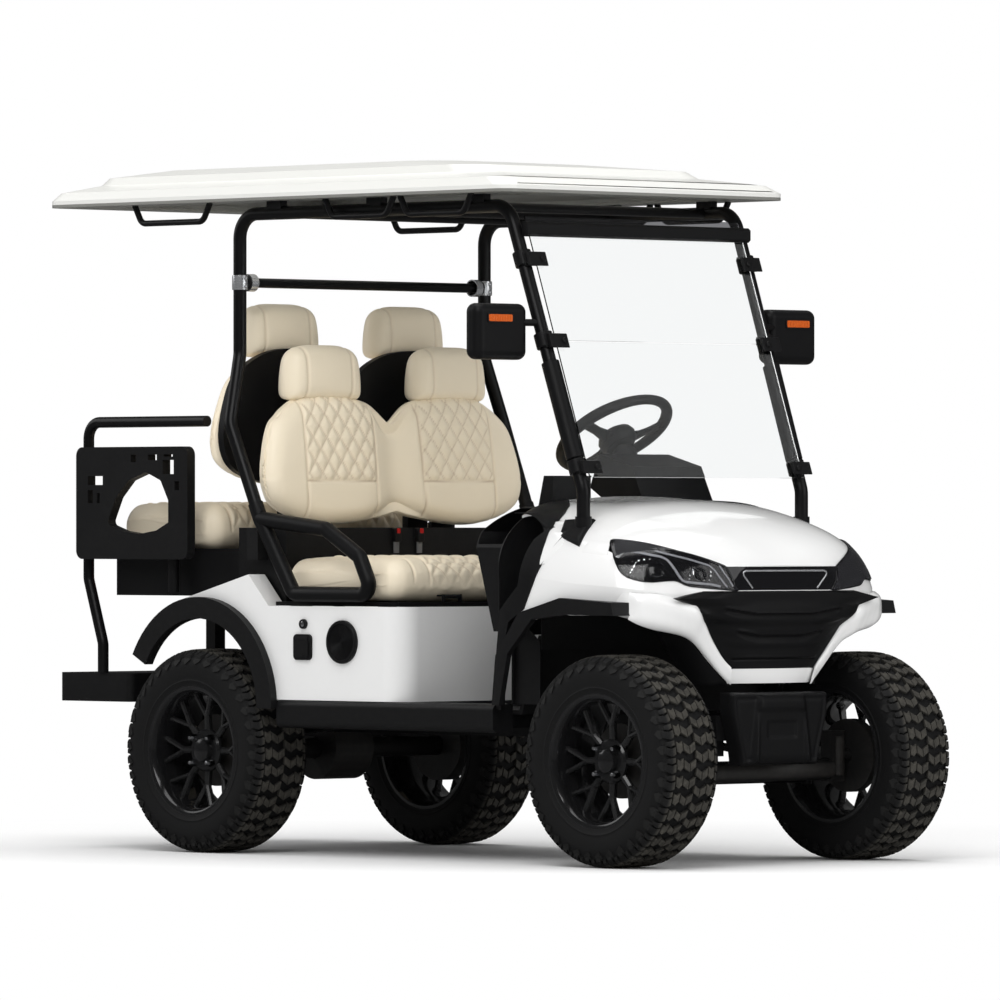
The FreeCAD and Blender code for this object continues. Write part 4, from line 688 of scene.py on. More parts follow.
def spoke(turn):
    """One Y-shaped spoke with a ridge along its middle, from the hub to two feet on the barrel."""
    def limb(start, end, width_in, width_out, depth_in, depth_out):
        way = (end - start).normalized()
        across = Vector((way.z, 0, -way.x))
        vertices = []
        for at, width, depth in ((start, width_in, depth_in), (end, width_out, depth_out)):
            for shift, back in ((-1.0, 0.006), (-0.45, 0.0), (0.45, 0.0), (1.0, 0.006), (0.7, depth),
                                (-0.7, depth)):
                point = at + across * (shift * width)
                vertices.append((point.x, at.y - back, point.z))
        return vertices, end_faces(2, 6) + ring_faces(2, 6)

    def at(radius, angle, y):
        return Vector((radius * math.sin(turn + angle), y, radius * math.cos(turn + angle)))

    fork = at(0.104, 0.0, DISH_Y + 0.002)
    parts = [limb(at(0.048, 0.0, DISH_Y), fork, 0.0115, 0.0085, 0.020, 0.020)]
    for sign in (-1, 1):
        foot = at(BARREL_RADIUS - 0.002, sign * 0.20, FACE_Y)
        parts.append(limb(at(0.098, 0.0, DISH_Y + 0.002), foot, 0.0065, 0.0075, 0.018, 0.024))
    return parts


def rim_mesh(name, out):
    """A wheel with its face towards out: barrel and lips, dished Y spokes, hub, cap and chrome nuts."""
    barrel = [(0.189, 0.098), (0.1885, 0.0945), (0.184, 0.093), (0.176, 0.0915), (0.173, 0.084),
              (0.172, 0.060), (0.165, 0.040), (0.160, -0.040), (0.172, -0.070), (0.176, -0.090),
              (0.188, -0.093), (0.189, -0.098), (0.180, -0.0985), (0.170, -0.086), (0.166, -0.070),
              (0.154, -0.040), (0.159, 0.030), (0.165, 0.052), (0.167, 0.078), (0.1705, 0.088),
              (0.176, 0.0955), (0.183, 0.0985)]
    parts = [turned(barrel, 96)]
    for i in range(SPOKES):
        parts += spoke(2 * math.pi * i / SPOKES)
    hub = [(0.0, 0.030), (0.060, 0.030), (0.063, 0.034), (0.062, 0.043), (0.056, 0.048), (0.0, 0.048)]
    parts.append(turned(hub, 64))
    cap = [(0.0, 0.040), (0.034, 0.040), (0.0345, 0.058), (0.0315, 0.064), (0.022, 0.0675), (0.0, 0.069)]
    parts.append(turned(cap, 64))
    nuts = [nut(i) for i in range(NUTS)]
    if out < 0:
        parts, nuts = mirrored(parts), mirrored(nuts)
    return together(name, [make_object(name, *gathered(parts), "rim_black", sharp=0.5),
                           make_object(name + "_nuts", *gathered(nuts), "chrome", sharp=0.5)])


def nut(index):
    """One domed six-sided wheel nut on its stud."""
    turn = 2 * math.pi * (index + 0.5) / NUTS
    vertices = []
    rings = ((0.0105, 0.047), (0.0105, 0.062), (0.0085, 0.066), (0.0075, 0.072), (0.0045, 0.0755))
    for radius, y in rings:
        for k in range(6):
            angle = math.pi * k / 3
            vertices.append((NUT_CIRCLE * math.sin(turn) + radius * math.sin(angle), y,
                             NUT_CIRCLE * math.cos(turn) + radius * math.cos(angle)))
    return vertices, ring_faces(len(rings), 6) + end_faces(len(rings), 6)[1:]


class CART_OT_wheels(bpy.types.Operator):
    """Makes the four tyres with their tread and the four wheels with Y-shaped spokes."""
    bl_idname = "cart.wheels"
    bl_label = "Tyres and wheels"

    def execute(self, context):
        for end, x in (("front", FRONT_AXLE_X), ("rear", REAR_AXLE_X)):
            for side, sign in (("left", 1), ("right", -1)):
                body = f"wheel_{end}_{side}"
                place = Matrix.Translation((x, sign * WHEEL_Y, AXLE_Z))
                tyre = tyre_mesh(f"tread_{end}_{side}", sign < 0)
                wheel = rim_mesh(f"wheel_{end}_{side}_spokes", sign)
                for piece in (tyre, wheel):
                    piece.data.transform(place)
                settled(tyre, body, "tyre_rubber", f"tyre_{end}_{side}")
                settled(wheel, body, "rim_black", f"rim_{end}_{side}")
        return {"FINISHED"}


# Upholstery

LOBE = [(0.0, 1.248), (0.060, 1.295), (0.108, 1.315), (0.221, 1.332), (0.334, 1.324), (0.398, 1.300),
        (0.471, 1.242), (0.501, 1.172), (0.517, 1.096), (0.513, 1.044), (0.486, 0.997), (0.412, 0.962),
        (0.307, 0.942), (0.210, 0.942), (0.113, 0.954), (0.057, 0.962), (0.0, 0.975)]
PUFF_FRAMES = 20
QUILT_SLANT = 1.32
FRONT_EDGE_X = 0.160
REAR_EDGE_X = -1.110
FRONT_HINGE_Z = 0.745
REAR_HINGE_Z = 0.879
BACK_LEAN = 0.11
BACK_MIDDLE_Z = 1.14
ZONE_MIDDLE = 0.233
ZONE_HALF = 0.139
ZONE_BASE_Z = 1.076
REST_HALF = 0.142
REST_DEPTH = 0.050
STEM_Y = 0.055


class Form:
    """A padded form: a closed outline in u and v, its thickness along w, and where that lies in the cart."""

    def __init__(self, half_outline, centre_w, front, rear, edge, place):
        self.line = np.array(curve_through(half_outline, 12))
        peak = int(np.argmax(self.line[:, 0]))
        self.upper, self.lower = self.line[:peak + 1], self.line[peak:][::-1]
        self.half = float(self.line[peak, 0])
        self.centre, self.front, self.rear, self.edge, self.place = centre_w, front, rear, edge, place

    def mesh(self, name, columns, rows):
        """The form as a closed net of even quads, thickest inside its edge."""
        spread = np.sin(np.linspace(-1, 1, 2 * columns + 1) * math.pi / 2)
        u = spread * self.half
        high = np.interp(np.abs(u), self.upper[:, 0], self.upper[:, 1])
        low = np.interp(np.abs(u), self.lower[:, 0], self.lower[:, 1])
        share = (1 - np.cos(np.linspace(0, math.pi, rows + 1))) / 2
        v = low[:, None] + (high - low)[:, None] * share[None, :]
        across = np.repeat(u[:, None], rows + 1, axis=1)
        full = np.concatenate([self.line, self.line * (-1, 1)])
        gap = np.min(np.hypot(across[..., None] - full[:, 0], v[..., None] - full[:, 1]), axis=-1)
        gap[0] = gap[-1] = gap[:, 0] = gap[:, -1] = 0
        swell = np.sqrt(np.clip(1 - (1 - np.clip(gap / self.edge, 0, 1)) ** 2, 0, 1))
        points, faces = [], []
        for side, depth in ((1, self.front), (-1, self.rear)):
            start = len(points)
            for i in range(2 * columns + 1):
                for j in range(rows + 1):
                    w = self.centre + side * swell[i, j] * depth
                    points.append(self.place(across[i, j], v[i, j], w))
            for i in range(2 * columns):
                for j in range(rows):
                    a = start + i * (rows + 1) + j
                    faces.append((a, a + 1, a + rows + 2, a + rows + 1))
        return make_object(name, points, faces, "cream_leather")


def puffed(piece, limit, pressure=4.0):
    """Blows the closed piece up a little as cloth, and keeps each point within the limit."""
    scene = bpy.context.scene
    rest = np.empty(len(piece.data.vertices) * 3)
    piece.data.vertices.foreach_get("co", rest)
    cloth = piece.modifiers.new("padding", "CLOTH")
    cloth.settings.use_pressure = True
    cloth.settings.uniform_pressure_force = pressure
    cloth.settings.effector_weights.gravity = 0.0
    cloth.settings.quality = 4
    cloth.settings.tension_stiffness = 25.0
    cloth.settings.bending_stiffness = 4.0
    cloth.point_cache.frame_start, cloth.point_cache.frame_end = 1, PUFF_FRAMES
    for step in range(1, PUFF_FRAMES + 1):
        scene.frame_set(step)
    blown = piece.evaluated_get(bpy.context.evaluated_depsgraph_get()).to_mesh()
    moved = np.empty(len(blown.vertices) * 3)
    blown.vertices.foreach_get("co", moved)
    piece.modifiers.remove(cloth)
    scene.frame_set(1)
    shift = (moved - rest).reshape(-1, 3)
    length = np.linalg.norm(shift, axis=1, keepdims=True)
    shift *= np.minimum(1.0, limit / np.maximum(length, 1e-9))
    piece.data.vertices.foreach_set("co", (rest.reshape(-1, 3) + shift).ravel())
    piece.data.update()
    return piece


def smoothed(piece, levels):
    """Applies subdivision, so that later shaping acts on a fine net."""
    modifier = piece.modifiers.new("fine", "SUBSURF")
    modifier.levels = modifier.render_levels = levels
    bpy.context.view_layer.objects.active = piece
    bpy.ops.object.modifier_apply(modifier="fine")
    return piece


def sewn(piece, pattern):
    """Presses the seams and raises the quilting that pattern gives for points and normals."""
    mesh = piece.data
    count = len(mesh.vertices)
    points, normals = np.empty(count * 3), np.empty(count * 3)
    mesh.vertices.foreach_get("co", points)
    mesh.vertex_normals.foreach_get("vector", normals)
    points, normals = points.reshape(-1, 3), normals.reshape(-1, 3)
    raise_by, seam = pattern(points, normals)
    mesh.vertices.foreach_set("co", (points + normals * raise_by[:, None]).ravel())
    mesh.attributes.new("seam", "FLOAT", "POINT").data.foreach_set("value", np.clip(seam, 0, 1))
    mesh.update()
    return piece


def ramp(values, start, end):
    """Smooth step from 0 at start to 1 at end."""
    t = np.clip((values - start) / (end - start), 0, 1)
    return t * t * (3 - 2 * t)


def stitch_line(distance):
    """Depth and darkness of a sewn line at a distance from it."""
    width = sizes().seam
    return -0.0045 * np.exp(-(distance / width) ** 2), 0.75 * np.exp(-(distance / (0.36 * width)) ** 2)


def quilted(u, v, inside):
    """Height and stitching of diamonds, where inside is 1."""
    pitch = sizes().quilt
    first, second = u / pitch + v / (QUILT_SLANT * pitch), u / pitch - v / (QUILT_SLANT * pitch)
    scale = pitch / math.sqrt(1 + 1 / QUILT_SLANT ** 2)
    gap = np.minimum(np.abs((first + 0.5) % 1 - 0.5), np.abs((second + 0.5) % 1 - 0.5)) * scale
    puff = sizes().puff * (1 - np.exp(-(gap / 0.009) ** 2)) - 0.0015
    return puff * inside, 0.7 * np.exp(-(gap / (0.34 * sizes().seam)) ** 2) * inside


def back_pattern(front_sign):
    """Seams and quilting of a two-lobed back whose face looks along X, forward for 1 and backward for -1."""
    def pattern(points, normals):
        y, z = points[:, 1], points[:, 2]
        facing = ramp(front_sign * normals[:, 0], 0.35, 0.7)
        side = np.abs(y) - ZONE_MIDDLE
        tilt = side + 0.02 * (z - ZONE_BASE_Z)
        inside = ramp(ZONE_HALF - np.abs(tilt), 0.001, 0.009) * ramp(z - ZONE_BASE_Z, 0.001, 0.009) * facing
        height, seam = quilted(y, z, inside)
        for distance in (np.where(z > ZONE_BASE_Z - 0.25, np.abs(np.abs(tilt) - ZONE_HALF), 1.0),
                         np.where(np.abs(tilt) < ZONE_HALF, np.abs(z - ZONE_BASE_Z), 1.0)):
            depth, dark = stitch_line(distance)
            height, seam = height + depth * facing, np.maximum(seam, dark * facing)
        # The valley between the lobes, and the groove inside the edge
        valley = 0.030 * np.exp(-(y / 0.075) ** 2) * facing
        edge = ramp(front_sign * normals[:, 0], 0.55, 0.30) * ramp(front_sign * normals[:, 0], 0.02, 0.25)
        height = height - valley - 0.0035 * edge * ramp(edge, 0.5, 1.0)
        return height, seam
    return pattern


def cushion_pattern(edge_x, side_y):
    """Seams and quilting of a bench cushion: two quilted seats that run over its front edge."""
    def pattern(points, normals):
        x, y, z = points.T
        top = ramp(normals[:, 2], -0.2, 0.25)
        side = np.abs(np.abs(y) - ZONE_MIDDLE) - ZONE_HALF
        inside = ramp(-side, 0.001, 0.009) * top
        # Past the rolled edge the quilting runs on down the face
        along = np.where(normals[:, 2] > 0.7, x, x + (points[:, 2].max() - z) * np.sign(edge_x))
        height, seam = quilted(y, along, inside)
        for distance in (np.abs(side), np.abs(np.abs(y) - side_y)):
            depth, dark = stitch_line(distance)
            height, seam = height + depth * top, np.maximum(seam, dark * top)
        height = height - 0.012 * np.exp(-(y / 0.06) ** 2) * top
        return height, seam
    return pattern


def rest_pattern(middle_y, seam_half):
    """Two seams round a headrest, one near each end."""
    def pattern(points, normals):
        depth, seam = stitch_line(np.abs(np.abs(points[:, 1] - middle_y) - seam_half))
        return depth * 0.8, seam
    return pattern


class CART_OT_backs(bpy.types.Operator):
    """Makes the front and rear two-lobed seat backs, padded, seamed and quilted."""
    bl_idname = "cart.backs"
    bl_label = "Seat backs"

    def execute(self, context):
        for node, sign in (("front_seat_back", 1), ("rear_seat_back", -1)):
            low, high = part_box(node)
            face = high.x if sign > 0 else low.x
            across, heights = zip(*LOBE)
            scale = high.y / max(across)
            rise = (high.z - low.z) / (max(heights) - min(heights))
            outline = [(u * scale, low.z + (v - min(heights)) * rise) for u, v in LOBE]

            def place(u, v, w):
                return (face - sign * (0.052 - w) - sign * BACK_LEAN * (v - BACK_MIDDLE_Z), u, v)

            form = Form(outline, 0.0, 0.046, 0.022, 0.052, place)
            back = form.mesh(node + "_pad", 39, 28)
            smoothed(puffed(back, 0.007), 2)
            sewn(back, back_pattern(sign))
            settled(back, "root", "cream_leather", node)
        return {"FINISHED"}


class CART_OT_cushions(bpy.types.Operator):
    """Makes the front and rear bench cushions, padded, seamed and quilted."""
    bl_idname = "cart.cushions"
    bl_label = "Seat cushions"

    def execute(self, context):
        for node, body, edge in (("front_seat_cushion", "front_seat", 1),
                                 ("rear_seat_cushion", "rear_seat", -1)):
            low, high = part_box(node)
            ends = (low.x, FRONT_EDGE_X) if edge > 0 else (REAR_EDGE_X, high.x)
            outline = self.outline(high.y, *ends)
            middle = (high.z + low.z) / 2

            def place(u, v, w):
                return (v, u, w)

            form = Form(outline, middle, high.z - middle - 0.006, middle - low.z - 0.004, 0.050, place)
            pad = form.mesh(node + "_pad", 39, 31)
            smoothed(puffed(pad, 0.006), 2)
            self.flatten(pad, low.z)
            sewn(pad, cushion_pattern(edge, high.y - 0.075))
            settled(pad, body, "cream_leather", node)
            settled(self.hinge(node, edge), body, "black_metal")
        return {"FINISHED"}

    def outline(self, half, rear, front):
        """Half of a bench's plan view: straight sides and rounded corners."""
        turn = 0.060
        corner = [(half - turn + turn * math.sin(a), front - turn + turn * math.cos(a))
                  for a in np.linspace(0, math.pi / 2, 4)]
        back = [(half - turn + turn * math.cos(a), rear + turn - turn * math.sin(a))
                for a in np.linspace(0, math.pi / 2, 4)]
        return [(0, front), (half / 3, front), (half * 2 / 3, front), *corner,
                (half + 0.0005, (front + rear) / 2), *back,
                (half * 2 / 3, rear), (half / 3, rear), (0, rear)]

    def flatten(self, pad, floor):
        """The underside lies flat on its deck."""
        for vertex in pad.data.vertices:
            vertex.co.z = max(vertex.co.z, floor + 0.0005)

    def hinge(self, node, edge):
        """The two hinge barrels under the cushion's edge, with the straps that hold it."""
        low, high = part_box(node)
        if edge > 0:
            x, z, inner = high.x - 0.006, FRONT_HINGE_Z, FRONT_EDGE_X - 0.03
        else:
            x, z, inner = low.x + 0.006, REAR_HINGE_Z, REAR_EDGE_X + 0.05
        near, far = sorted((x, inner))
        strap = [(near, z), (far, z), (far, z + 0.004), (near, z + 0.004)]
        parts = []
        for side in (-0.3, 0.3):
            parts += [bar([(x, side - 0.03, z), (x, side + 0.03, z)], 0.006),
                      prism(strap, side - 0.03, side + 0.03)]
        return make_object(node + "_hinge", *gathered(parts), "black_metal", smooth=False)


class CART_OT_headrests(bpy.types.Operator):
    """Makes the four headrests with their stems."""
    bl_idname = "cart.headrests"
    bl_label = "Headrests"

    def execute(self, context):
        pads = []
        for x, y, z0, z1 in self.places():
            pads.append(self.rest(x, y, z0, z1))
            stems = [bar([(x, side, z0 - 0.035), (x, side, z0 + 0.03)], 0.006)
                     for side in (y - STEM_Y, y + STEM_Y)]
            pads.append(make_object("stem", *gathered(stems), "black_metal"))
        rests = together("headrest_pads", pads)
        settled(rests, "root", "cream_leather", "headrests")
        return {"FINISHED"}

    def places(self):
        """Centre x and y, and lowest and highest z, of each headrest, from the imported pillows."""
        found = []
        points = np.array([v.co for v in NODES["headrests"].data.vertices])
        middle_x = (points[:, 0].max() + points[:, 0].min()) / 2
        for x_sign in (1, -1):
            for y_sign in (-1, 1):
                some = points[((points[:, 0] - middle_x) * x_sign > 0) & (points[:, 1] * y_sign > 0)]
                wide = some[some[:, 1] * y_sign > np.abs(some[:, 1]).max() - 0.02]
                x, y, _ = (some.max(axis=0) + some.min(axis=0)) / 2
                found.append((x, y, wide[:, 2].min() - 0.032, some[:, 2].max()))
        return found

    def rest(self, x, y, z0, z1):
        """One pillow: square below, rounded and narrower above."""
        half, tall = REST_HALF, z1 - z0
        outline = [(0, z1), (half * 0.45, z1 - 0.001), (half * 0.78, z1 - tall * 0.07),
                   (half * 0.93, z1 - tall * 0.22), (half * 0.99, z1 - tall * 0.5),
                   (half, z1 - tall * 0.72), (half * 0.985, z0 + tall * 0.12),
                   (half * 0.90, z0 + tall * 0.02), (half * 0.5, z0), (0, z0)]

        def place(u, v, w):
            return (x + w - 0.10 * (v - z0) * np.sign(w) * 0.5, y + u, v)

        form = Form(outline, 0.0, REST_DEPTH, REST_DEPTH, 0.034, place)
        pad = form.mesh("rest", 12, 12)
        smoothed(puffed(pad, 0.006), 2)
        return sewn(pad, rest_pattern(y, half * 0.62))


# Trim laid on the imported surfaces


class Surface:
    """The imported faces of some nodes, met along an axis from outside."""

    def __init__(self, *names):
        parts = []
        for name in names:
            mesh = NODES[name].data
            parts.append(([v.co for v in mesh.vertices], [tuple(p.vertices) for p in mesh.polygons]))
        self.tree = BVHTree.FromPolygons(*gathered(parts))

    def meet(self, u, v, axis, sign):
        """Where a line along the axis first meets the faces, and the face's normal."""
        far = 3.0 * sign
        start = {"x": (far, u, v), "y": (u, far, v), "z": (u, v, far)}[axis]
        way = {"x": (-sign, 0, 0), "y": (0, -sign, 0), "z": (0, 0, -sign)}[axis]
        place, normal = self.tree.ray_cast(Vector(start), Vector(way))[:2]
        return (None, None) if place is None else (np.array(place), np.array(normal))

    def laid(self, grid, lifts, axis="x", sign=1):
        """Points over a net of places, each lifted along the smoothed normal."""
        rows, columns = len(grid), len(grid[0])
        places, normals = np.zeros((rows, columns, 3)), np.zeros((rows, columns, 3))
        missing = np.zeros((rows, columns), bool)
        for i in range(rows):
            for j in range(columns):
                place, normal = self.meet(*grid[i][j], axis, sign)
                missing[i, j] = place is None
                if place is not None:
                    places[i, j], normals[i, j] = place, normal
        k = "xyz".index(axis)
        missing |= np.abs(places[..., k] - np.median(places[~missing][:, k])) > 0.3
        self.bridge(places, normals, missing, grid, k)
        for _ in range(6):
            normals = (4 * neighbours(normals) + normals) / 5
        normals /= np.linalg.norm(normals, axis=-1, keepdims=True)
        return places + normals * np.broadcast_to(np.asarray(lifts, float), (rows, columns))[..., None]

    def sheet(self, grid, high, low, axis="x", sign=1):
        """A closed sheet over a net of places, from one lift down to another."""
        return slab(self.laid(grid, high, axis, sign), self.laid(grid, low, axis, sign))

    def bridge(self, places, normals, missing, grid, k):
        """Fills the places where no near face was met, from the nearest ones."""
        good = np.argwhere(~missing)
        others = [n for n in range(3) if n != k]
        for i, j in np.argwhere(missing):
            a, b = good[np.argmin(np.abs(good - (i, j)).sum(axis=1))]
            places[i, j], normals[i, j] = places[a, b], normals[a, b]
            places[i, j, others[0]], places[i, j, others[1]] = grid[i][j]
        for _ in range(40 if missing.any() else 0):
            places[missing, k] = neighbours(places[..., k])[missing]


def along(points, count):
    """Evenly spaced points along a line through the given ones."""
    points = np.array(points, float)
    reach = np.concatenate([[0], np.cumsum(np.hypot(*np.diff(points, axis=0).T))])
    at = np.linspace(0, reach[-1], count)
    return np.stack([np.interp(at, reach, points[:, 0]), np.interp(at, reach, points[:, 1])], axis=1)


def patch(bottom, top, left, right, columns, rows):
    """A net of places between four border lines, bottom and top from left to right."""
    low, high = along(bottom, columns + 1), along(top, columns + 1)
    first, last = along(left, rows + 1), along(right, rows + 1)
    s = np.linspace(0, 1, columns + 1)[None, :, None]
    t = np.linspace(0, 1, rows + 1)[:, None, None]
    corners = ((1 - s) * (1 - t) * low[0] + s * (1 - t) * low[-1] + (1 - s) * t * high[0]
               + s * t * high[-1])
    return (1 - t) * low[None] + t * high[None] + (1 - s) * first[:, None] + s * last[:, None] - corners


def neighbours(net):
    """The mean of each place's four neighbours in a net."""
    wide = np.pad(net, [(1, 1), (1, 1), (0, 0)][:net.ndim], mode="edge")
    return (wide[:-2, 1:-1] + wide[2:, 1:-1] + wide[1:-1, :-2] + wide[1:-1, 2:]) / 4


def relaxed(depth, times):
    """A net of numbers, each made the mean of its neighbours a number of times."""
    for _ in range(times):
        depth = neighbours(depth)
    return depth


def slab(face, back):
    """Vertices and faces of a closed sheet between two nets of points."""
    rows, columns = face.shape[:2]
    vertices = [tuple(p) for net in (face, back) for row in net for p in row]
    count = rows * columns
    faces = []
    for start in (0, count):
        for i in range(rows - 1):
            for j in range(columns - 1):
                a = start + i * columns + j
                faces.append((a, a + 1, a + columns + 1, a + columns))
    edge = list(range(columns)) + [i * columns + columns - 1 for i in range(1, rows)]
    edge += [(rows - 1) * columns + j for j in reversed(range(columns - 1))]
    edge += [i * columns for i in reversed(range(1, rows - 1))]
    for a, b in zip(edge, edge[1:] + edge[:1]):
        faces.append((a, b, b + count, a + count))
    return vertices, faces


def ribbon(surface, path, width, lift, depth, axis="x", sign=1, pitch=0.006, closed=False):
    """A raised line along a path on the surface: flat-topped, with a softened crest."""
    points = np.array(path, float)
    if closed:
        points = np.concatenate([points, points[:1]])
    total = np.hypot(*np.diff(points, axis=0).T).sum()
    line = along(points, max(4, int(total / pitch)))
    way = np.gradient(line, axis=0)
    if closed:
        way[0] = way[-1] = line[1] - line[-2]
    way /= np.linalg.norm(way, axis=1, keepdims=True)
    across = np.stack([-way[:, 1], way[:, 0]], axis=1) * width / 2
    grid = np.stack([line + across * share for share in (-1, -0.7, 0.7, 1)], axis=1)
    side = lift - 0.15 * abs(lift - depth)
    return surface.sheet(grid, np.array([side, lift, lift, side]), depth, axis, sign)


# Headlights, nose strip and grille, drawn in front view as y and z for the right side

LAMP_TOP = [(-0.441, 0.905), (-0.431, 0.904), (-0.412, 0.900), (-0.390, 0.893), (-0.364, 0.883),
            (-0.334, 0.872), (-0.299, 0.861), (-0.267, 0.850), (-0.238, 0.839), (-0.221, 0.832)]
LAMP_BOTTOM = [(-0.477, 0.805), (-0.467, 0.799), (-0.453, 0.794), (-0.432, 0.792), (-0.413, 0.794),
               (-0.393, 0.796), (-0.374, 0.796), (-0.362, 0.791), (-0.352, 0.785), (-0.337, 0.780),
               (-0.308, 0.777), (-0.278, 0.774), (-0.241, 0.771), (-0.205, 0.768), (-0.185, 0.768)]
LAMP_OUTER = [(-0.477, 0.805), (-0.482, 0.814), (-0.483, 0.824), (-0.480, 0.840), (-0.475, 0.856),
              (-0.463, 0.879), (-0.451, 0.896), (-0.441, 0.905)]
LAMP_INNER = [(-0.185, 0.768), (-0.193, 0.774), (-0.207, 0.796), (-0.215, 0.821), (-0.221, 0.832)]
MAIN_BAND = [(-0.440, 0.875), (-0.426, 0.871), (-0.409, 0.865), (-0.389, 0.860), (-0.378, 0.853),
             (-0.373, 0.842), (-0.368, 0.827), (-0.363, 0.810), (-0.356, 0.795), (-0.351, 0.791),
             (-0.335, 0.789), (-0.306, 0.786), (-0.277, 0.784), (-0.246, 0.778)]
UPPER_BAND = [(-0.433, 0.886), (-0.417, 0.883), (-0.397, 0.878), (-0.375, 0.869), (-0.350, 0.861),
              (-0.322, 0.853), (-0.292, 0.843), (-0.269, 0.835), (-0.257, 0.824), (-0.246, 0.804),
              (-0.233, 0.785), (-0.224, 0.776)]
INNER_BAND = [(-0.239, 0.835), (-0.231, 0.818), (-0.219, 0.799), (-0.206, 0.777)]
CROSS_BAND = [(-0.473, 0.857), (-0.460, 0.868), (-0.445, 0.878), (-0.430, 0.886), (-0.414, 0.893)]
# Each projector's y and z with its radius, and the rows of cut reflectors: start, step, count and size
LAMP_MIDDLE = (-0.335, 0.826)
PROJECTORS = ((-0.412, 0.825, 0.0215), (-0.302, 0.811, 0.0185))
GEM_ROWS = (((-0.468, 0.818), (0.0052, 0.0068), 5, 0.011), ((-0.452, 0.848), (0.0125, 0.002), 4, 0.009),
            ((-0.337, 0.800), (0.006, 0.0085), 4, 0.010), ((-0.276, 0.797), (0.0035, 0.010), 3, 0.011))
BAND_LIFT = 0.0028
COVER_LIFT = 0.0062
CORNER_PATCH = ([(-0.470, 0.864), (-0.436, 0.889)], [(-0.447, 0.893), (-0.436, 0.895)],
                [(-0.470, 0.864), (-0.447, 0.893)], [(-0.436, 0.889), (-0.436, 0.895)])
SILVER_LINE = [(-0.128, 0.772), (-0.165, 0.809), (-0.1645, 0.817), (-0.155, 0.821), (0.155, 0.821),
               (0.1645, 0.817), (0.165, 0.809), (0.128, 0.772)]
# Louvres: top height, half length of the straight part and with its wings, wings' rise, height, depth
LOUVRES = [(0.703, 0.115, 0.235, 0.016, 0.034, 0.007), (0.642, 0.085, 0.172, 0.014, 0.030, 0.006),
           (0.579, 0.150, 0.172, 0.0, 0.010, 0.004)]
GRILLE_EDGE = [(0.5465, 0.166), (0.698, 0.300), (0.724, 0.327), (0.745, 0.405), (0.765, 0.300)]


class CART_OT_lamps(bpy.types.Operator):
    """Makes the two headlights: dark bowls with light bands, projectors and facets behind a clear cover."""
    bl_idname = "cart.lamps"
    bl_label = "Headlights"

    def execute(self, context):
        surface = Surface("front_cowl", "headlights", "nose_strip")
        sets = {"gloss_black": self.bowl(surface), "lamp_band": self.bands(surface),
                "lamp_white": [ribbon(surface, CROSS_BAND, 0.0042, 0.0036, 0.0)],
                "chrome": self.facets(surface),
                "clear_lens": [surface.sheet(self.net(-0.01), COVER_LIFT, COVER_LIFT - 0.0010)]}
        for side, turned_over, nodes in (("right", list, ["headlights"]), ("left", mirrored, [])):
            pieces = [make_object("lamp", *gathered(turned_over(parts)), material)
                      for material, parts in sets.items()]
            lamp = together("headlight_" + side, pieces)
            lamp.data.set_sharp_from_angle(angle=0.6)
            settled(lamp, "root", "clear_lens", *nodes)
        return {"FINISHED"}

    def net(self, grow, columns=60, rows=22):
        """Places over the lamp, its outline drawn out a little from the middle."""
        grid = patch(LAMP_BOTTOM, LAMP_TOP, LAMP_OUTER, LAMP_INNER, columns, rows)
        return grid + (grid - LAMP_MIDDLE) * grow

    def bowl(self, surface):
        """The dark floor, the black rim on the cowl and the projectors' balls."""
        floor = surface.sheet(self.net(0.012), 0.0006, -0.002)
        outline = LAMP_OUTER[:-1] + LAMP_TOP[:-1] + LAMP_INNER[::-1][:-1] + LAMP_BOTTOM[::-1][:-1]
        rim = ribbon(surface, outline, 0.0065, 0.0034, -0.001, closed=True)
        return [floor, rim, *[self.projector(surface, *row) for row in PROJECTORS]]

    def projector(self, surface, u, v, radius):
        """A dark ball lens in its ring."""
        place, normal = surface.meet(u, v, "x", 1)
        profile = [(0.0, -0.004), (radius, -0.004), (radius * 0.98, 0.0012), (radius * 0.75, 0.0030),
                   (radius * 0.4, 0.0040), (0.0, 0.0043)]
        return gathered(turned_to([turned(profile, 40)], place, normal))

    def bands(self, surface):
        """The light-guide lines."""
        lines = ((MAIN_BAND, 0.0066), (UPPER_BAND, 0.0052), (INNER_BAND, 0.0048))
        return [*(ribbon(surface, line, width, BAND_LIFT, 0.0) for line, width in lines),
                surface.sheet(patch(*CORNER_PATCH, 6, 6), 0.0018, 0.0)]

    def facets(self, surface):
        """The projectors' bright rings and the cut reflectors beside them."""
        parts = []
        for u, v, radius in PROJECTORS:
            place, normal = surface.meet(u, v, "x", 1)
            ring = [(radius, -0.002), (radius + 0.003, -0.002), (radius + 0.0025, 0.0020),
                    (radius + 0.001, 0.0028), (radius - 0.0005, 0.0016)]
            parts += turned_to([turned(ring, 48)], place, normal)
        for start, step, count, size in GEM_ROWS:
            for i in range(count):
                u, v = start[0] + step[0] * i, start[1] + step[1] * i
                place, normal = surface.meet(u, v, "x", 1)
                # Each one faces its own way, so that they catch the light one by one
                aside = Vector((0.0, 0.16 * math.sin(2.3 * i + 40 * u), 0.20 * math.cos(1.7 * i)))
                tilt = Vector(normal) + aside
                gem = [(0.0, 0.0), (size * 0.55, 0.0), (size * 0.42, 0.0022), (0.0, 0.0034)]
                parts += turned_to([turned(gem, 4)], place, tilt.normalized())
        return parts


